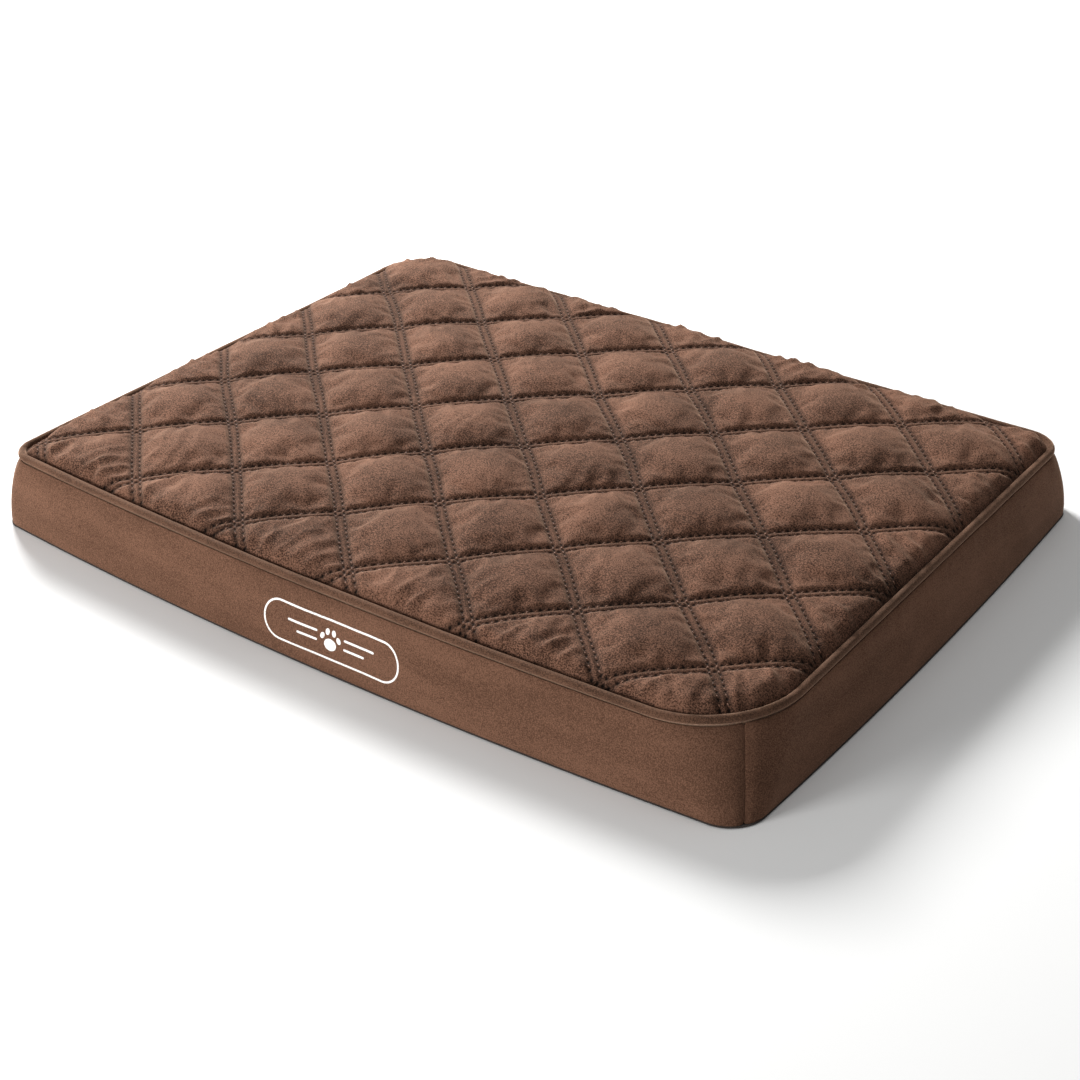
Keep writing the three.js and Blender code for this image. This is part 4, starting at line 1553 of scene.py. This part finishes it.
def model_label():
    """The strip, each point of it laid off from the border's back."""
    tree = BVHTree.FromObject(back_lower, bpy.context.evaluated_depsgraph_get())
    places = []
    for out, height in label_profile():
        for x in label_x:
            sway = LABEL_SWAY * math.sin((x - label_low.x) / label_width * 5) * (out / (2 * MM))
            start = Vector((x, BEHIND_ALL, max(height, foot + MM)))
            hit = tree.ray_cast(start, Vector((0, -1, 0)))[0]
            places.append((x, hit.y + out + sway, height))
    rows = len(places) // len(label_x)
    piece = new_piece("care_label_satin", places, grid_faces(rows, len(label_x)))
    apply_modifier(piece, "SUBSURF", levels=1, render_levels=1)
    apply_modifier(piece, "SOLIDIFY", thickness=LABEL_SATIN, offset=0)
    smooth(piece)
    return piece


def satin():
    """Woven polyester satin: white, with a streaky gloss across the floating threads."""
    material, tree, shader = new_material("woven_satin_label")
    places = add_node(tree, "ShaderNodeTexCoord")["Object"]
    floats = {"Scale": WAVES_PER_METRE / 0.5, "Distortion": 0.5, "Vector": places}
    threads = add_node(tree, "ShaderNodeTexWave", floats, bands_direction="Z")["Fac"]
    stops = ((0, "#dddbd5"), (1, "#f6f5f1"))
    colour = add_node(tree, "ShaderNodeValToRGB", {0: threads}, stops)[0]
    bump = {"Strength": 0.3, "Distance": 0.1 * MM, "Height": threads}
    tree.links.new(colour, shader.inputs["Base Color"])
    tree.links.new(add_node(tree, "ShaderNodeBump", bump)[0], shader.inputs["Normal"])
    shader.inputs["Roughness"].default_value = 0.35
    shader.inputs["Anisotropic"].default_value = 0.5
    shader.inputs["Sheen Weight"].default_value = 0.3
    return material


label = model_label()
finish_piece(label, satin(), "satin_label", "cushion", "care_label")
label_xs = np.arange(label_low.x + 2 * MM, label_high.x - MM, FINE_PITCH)
sew_along_back("label_stitching", label_xs, label_high.z - 1.5 * MM, label, "satin_label")

# %% [markdown]
# ## Zip
# The zip lies in the plane of the back, which leans with the border. So its pieces are made
# in a frame of their own, X along the chain, Y out of the cloth and Z across, and are then
# moved to the bed. That frame comes from the hinge of the pull, which the CAD model fixes.

# %% The zip's own frame
AXLE_OUT = 2.5 * MM
TAPE_FACE = -2.4 * MM
joints = {joint["name"]: joint for joint in frame["joints"]}
zip_up = -Vector(joints["pull_flip"]["axis"]).normalized()
zip_along = Vector((1, 0, 0))
zip_out = zip_up.cross(zip_along)
hinge = Vector(joints["pull_flip"]["pos_m"])
slider_x = hinge.x
zip_origin = hinge - zip_along * slider_x - zip_out * AXLE_OUT
to_bed = Matrix((zip_along, zip_out, zip_up)).transposed().to_4x4()
to_bed.translation = zip_origin
half_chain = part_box("zip_coil_lower")[1].x
lean = math.degrees(math.asin(-zip_up.y))
print(f"zip: chain {2 * half_chain / MM:.0f} mm, leaning {lean:.1f} degrees")

# %% [markdown]
# Each tape is a woven strip. It is made a little wavy, as a tape is between its stitches.

# %% Zip tapes
tape_cloth = woven("woven_zip_tape", "#2c1f18", "#5a4234", 0.9, "XZ")
TAPE_INSIDE = 0.6 * MM
TAPE_OUTSIDE = 13.6 * MM
TAPE_THICKNESS = 0.5 * MM
TAPE_BACK = 0.3 * MM
TAPE_WAVE = 0.12 * MM


def zip_tape(node, way):
    """One tape. The way is 1 for the upper one and -1 for the lower one, its mirror image."""
    xs = np.linspace(-zip_end, zip_end, 240)
    rows = []
    for z in np.linspace(TAPE_INSIDE, TAPE_OUTSIDE, 9):
        wave = TAPE_WAVE * waves(51 + way, xs, np.full_like(xs, z), 25 * MM)
        depth = TAPE_FACE - TAPE_BACK + wave
        rows.append(np.column_stack([xs, depth, np.full_like(xs, way * z)]))
    piece = new_piece(f"{node}_woven", np.vstack(rows[::way]), grid_faces(len(rows), len(xs)))
    apply_modifier(piece, "SOLIDIFY", thickness=TAPE_THICKNESS, offset=0)
    piece.data.transform(to_bed)
    finish_piece(piece, tape_cloth, "zip_tape", "cushion", node)


zip_tape("zip_tape_upper", 1)
zip_tape("zip_tape_lower", -1)

# %% [markdown]
# Each side of the chain is one nylon wire wound into a flat coil, whose turns hook into those
# of the other side. It is a tube along a flattened helix, half a turn out of step with its
# neighbour.

# %% Zip coils
COIL_PITCH = 1.5 * MM
WIRE_RADIUS = 0.3 * MM
TURN_STEPS = 9
WIRE_SIDES = 5
COIL_HEAD = 0.4 * MM
COIL_HEEL = 3.2 * MM
COIL_BACK = -2.05 * MM
COIL_FRONT = 0.15 * MM
COIL_SQUARENESS = 0.6


def nylon():
    """Nylon monofilament, drawn and heat-set: brown, smooth and a little glossy."""
    stops = ((0.35, "#34231b"), (0.65, "#4e382c"))
    material, _, shader, _ = two_tone("drawn_nylon", {"Scale": 200, "Detail": 2}, stops, 0.35)
    shader.inputs["IOR"].default_value = 1.53
    return material


def zip_coil(node, way, material):
    """A tube along a helix that is pressed towards a rectangle."""
    turns = int(2 * half_chain / COIL_PITCH) - 1
    phase = np.arange(turns * TURN_STEPS) / TURN_STEPS * 2 * math.pi
    shift = COIL_PITCH / 2 if way > 0 else 0
    x = -half_chain + WIRE_RADIUS + shift + phase / (2 * math.pi) * COIL_PITCH
    middle_z, half_z = (COIL_HEAD + COIL_HEEL) / 2, (COIL_HEEL - COIL_HEAD) / 2 - WIRE_RADIUS
    middle_y, half_y = (COIL_BACK + COIL_FRONT) / 2, (COIL_FRONT - COIL_BACK) / 2 - WIRE_RADIUS
    squash = np.maximum(np.abs(np.cos(phase)), np.abs(np.sin(phase))) ** COIL_SQUARENESS
    path = np.column_stack([
        x,
        middle_y + half_y * np.sin(phase) / squash,
        way * (middle_z + half_z * np.cos(phase) / squash),
    ])
    path[:, 1] = np.clip(path[:, 1], COIL_BACK + WIRE_RADIUS, COIL_FRONT - WIRE_RADIUS)
    outward = np.column_stack([0 * phase, np.sin(phase), way * np.cos(phase)])
    rows = []
    for side in range(WIRE_SIDES):
        angle = side * 2 * math.pi / WIRE_SIDES
        offset = outward * math.cos(angle) + np.array([1, 0, 0]) * math.sin(angle)
        rows.append(path + WIRE_RADIUS * offset)
    count = len(path)
    faces = tube_faces(WIRE_SIDES, count)
    for end in (0, count - 1):
        faces.append([side * count + end for side in range(WIRE_SIDES)])
    piece = new_piece(f"{node}_wire", np.vstack(rows), faces)
    face_outwards(piece)
    smooth(piece)
    piece.data.transform(to_bed)
    finish_piece(piece, material, "zip_coil", "cushion", node)


nylon_wire = nylon()
zip_coil("zip_coil_upper", 1, nylon_wire)
zip_coil("zip_coil_lower", -1, nylon_wire)

# %% [markdown]
# The metal pieces are modelled as by hand: blocks at their size and place, joined and cut
# with booleans, and bevelled, because a die-cast or stamped piece has no sharp edge. An edge
# that is round catches a thin line of light.

# %% Metal pieces
def zinc():
    """Die-cast zinc with a dark antique finish: brown-grey metal, lighter where it's worn."""
    wear = {"Scale": 500, "Detail": 4}
    stops = ((0.35, "#4c443c"), (0.7, "#8d8275"))
    material, tree, shader, tone = two_tone("die_cast_zinc_antique", wear, stops, 0.4)
    limits = {"Value": tone, "To Min": 0.28, "To Max": 0.5}
    rough = add_node(tree, "ShaderNodeMapRange", limits)[0]
    tree.links.new(rough, shader.inputs["Roughness"])
    shader.inputs["Metallic"].default_value = 1
    return material


def add_block(size_mm, middle_mm):
    """A block, with its size and its middle along, out of and across the zip."""
    bpy.ops.object.select_all(action="DESELECT")
    bpy.ops.mesh.primitive_cube_add(
        size=1, location=Vector(middle_mm) * MM, scale=Vector(size_mm) * MM
    )
    bpy.ops.object.transform_apply(location=True, rotation=True, scale=True)
    return bpy.context.object


def round_edges(piece, is_wanted, radius_mm, segments):
    """Bevels the edges that is_wanted picks by their middle and direction, both in mm."""
    make_active(piece)
    bpy.ops.object.mode_set(mode="EDIT")
    bpy.ops.mesh.select_mode(type="EDGE")
    bpy.ops.mesh.select_all(action="DESELECT")
    mesh = bmesh.from_edit_mesh(piece.data)
    for edge in mesh.edges:
        ends = [vertex.co / MM for vertex in edge.verts]
        edge.select_set(is_wanted((ends[0] + ends[1]) / 2, ends[1] - ends[0]))
    bmesh.update_edit_mesh(piece.data)
    bpy.ops.mesh.bevel(offset=radius_mm * MM, segments=segments, affect="EDGES")
    bpy.ops.object.mode_set(mode="OBJECT")


def combine(piece, tool, operation):
    apply_modifier(piece, "BOOLEAN", object=tool, operation=operation, solver="EXACT")
    bpy.data.objects.remove(tool)


def finish_metal(piece, name, round_mm, body, node):
    bevel(piece, round_mm * MM, 2, sharper_than=0.6)
    smooth(piece, 35)
    piece.data.transform(to_bed)
    piece.name = name
    finish_piece(piece, antique_zinc, "zip_metal", body, node)


antique_zinc = zinc()


# %% Stops
# All sizes of the metal pieces are in millimetres.
STOP_LENGTH, STOP_THICKNESS, STOP_OUT = 3, 2.2, -0.95
GROOVE_WIDTH, GROOVE_DEPTH, GROOVE_OUT = 0.8, 0.6, 0.2
STOP_NEAR, STOP_FAR = 0.3, 3.2


def zip_stop(name, x, low_z, high_z, node):
    """A crimped block with a groove across it."""
    width, middle = high_z - low_z, (low_z + high_z) / 2
    stop = add_block((STOP_LENGTH, STOP_THICKNESS, width), (x, STOP_OUT, middle))
    groove = add_block((GROOVE_WIDTH, GROOVE_DEPTH, width + 1), (x, GROOVE_OUT, middle))
    combine(stop, groove, "DIFFERENCE")
    finish_metal(stop, name, 0.25, "cushion", node)


stop_x = (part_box("zip_top_stop_upper")[0].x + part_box("zip_top_stop_upper")[1].x) / 2 / MM
zip_stop("top_stop_upper_metal", stop_x, STOP_NEAR, STOP_FAR, "zip_top_stop_upper")
zip_stop("top_stop_lower_metal", stop_x, -STOP_FAR, -STOP_NEAR, "zip_top_stop_lower")
zip_stop("bottom_stop_metal", -stop_x, -STOP_FAR, STOP_FAR, "zip_bottom_stop")


# %% [markdown]
# The slider is two plates with rounded corners, joined at its nose by a thin wedge that parts
# the coils. Low walls along the front plate keep the coils in, and on it stands a bail with a
# rounded arch.

# %% Slider
PLATE = (14, 1.1, 9)
PLATE_CORNER = 2.2
FRONT_OUT, BACK_OUT = 1.05, -3.9
WEDGE, WEDGE_ALONG, WEDGE_OUT = (3, 5.4, 0.6), 5, -1.4
WALL, WALL_OUT, WALL_ACROSS = (9.4, 2.1, 0.6), 0.2, 4.1
BAIL, BAIL_OUT, BAIL_CORNER = (8, 2.6, 2.4), 2.8, 1.1
ARCH, ARCH_OUT = (6, 1.9, 4), 2.35


def along_y(direction):
    return abs(direction.y) > 0.9 * direction.length


def slider_plate(x, out):
    plate = add_block(PLATE, (x, out, 0))
    round_edges(plate, lambda middle, way: along_y(way), PLATE_CORNER, 5)
    return plate


def model_slider():
    x = slider_x / MM
    slider = slider_plate(x, FRONT_OUT)
    combine(slider, slider_plate(x, BACK_OUT), "UNION")
    combine(slider, add_block(WEDGE, (x + WEDGE_ALONG, WEDGE_OUT, 0)), "UNION")
    for side in (-1, 1):
        combine(slider, add_block(WALL, (x, WALL_OUT, side * WALL_ACROSS)), "UNION")
    bail = add_block(BAIL, (x, BAIL_OUT, 0))
    round_edges(bail, lambda middle, way: abs(way.z) > 1 and middle.y > 3, BAIL_CORNER, 4)
    combine(bail, add_block(ARCH, (x, ARCH_OUT, 0)), "DIFFERENCE")
    combine(slider, bail, "UNION")
    return slider


finish_metal(model_slider(), "slider_body", 0.18, "slider", "zip_slider")


# %% [markdown]
# The pull is a flat tab with a round end, a slot for the bail and a shallow grip on each face.

# %% Pull
PULL, PULL_ALONG, PULL_OUT = (28.5, 1, 7), -13.75, 2.5
PULL_CORNER, ROUND_PAST = 3.3, -20
SLOT, SLOT_ALONG = (5.8, 2, 4), -3.6
GRIP, GRIP_ALONG, GRIP_OFFSET, GRIP_CORNER = (14, 0.6, 3.4), -17.5, 0.5, 1.6


def model_pull():
    x = slider_x / MM
    tab = add_block(PULL, (x + PULL_ALONG, PULL_OUT, 0))
    round_edges(
        tab, lambda middle, way: along_y(way) and middle.x < x + ROUND_PAST, PULL_CORNER, 8
    )
    combine(tab, add_block(SLOT, (x + SLOT_ALONG, PULL_OUT, 0)), "DIFFERENCE")
    for side in (-1, 1):
        grip = add_block(GRIP, (x + GRIP_ALONG, PULL_OUT + side * GRIP_OFFSET, 0))
        round_edges(grip, lambda middle, way: along_y(way), GRIP_CORNER, 6)
        combine(tab, grip, "DIFFERENCE")
    return tab


finish_metal(model_pull(), "pull_tab", 0.2, "pull", "zip_pull")
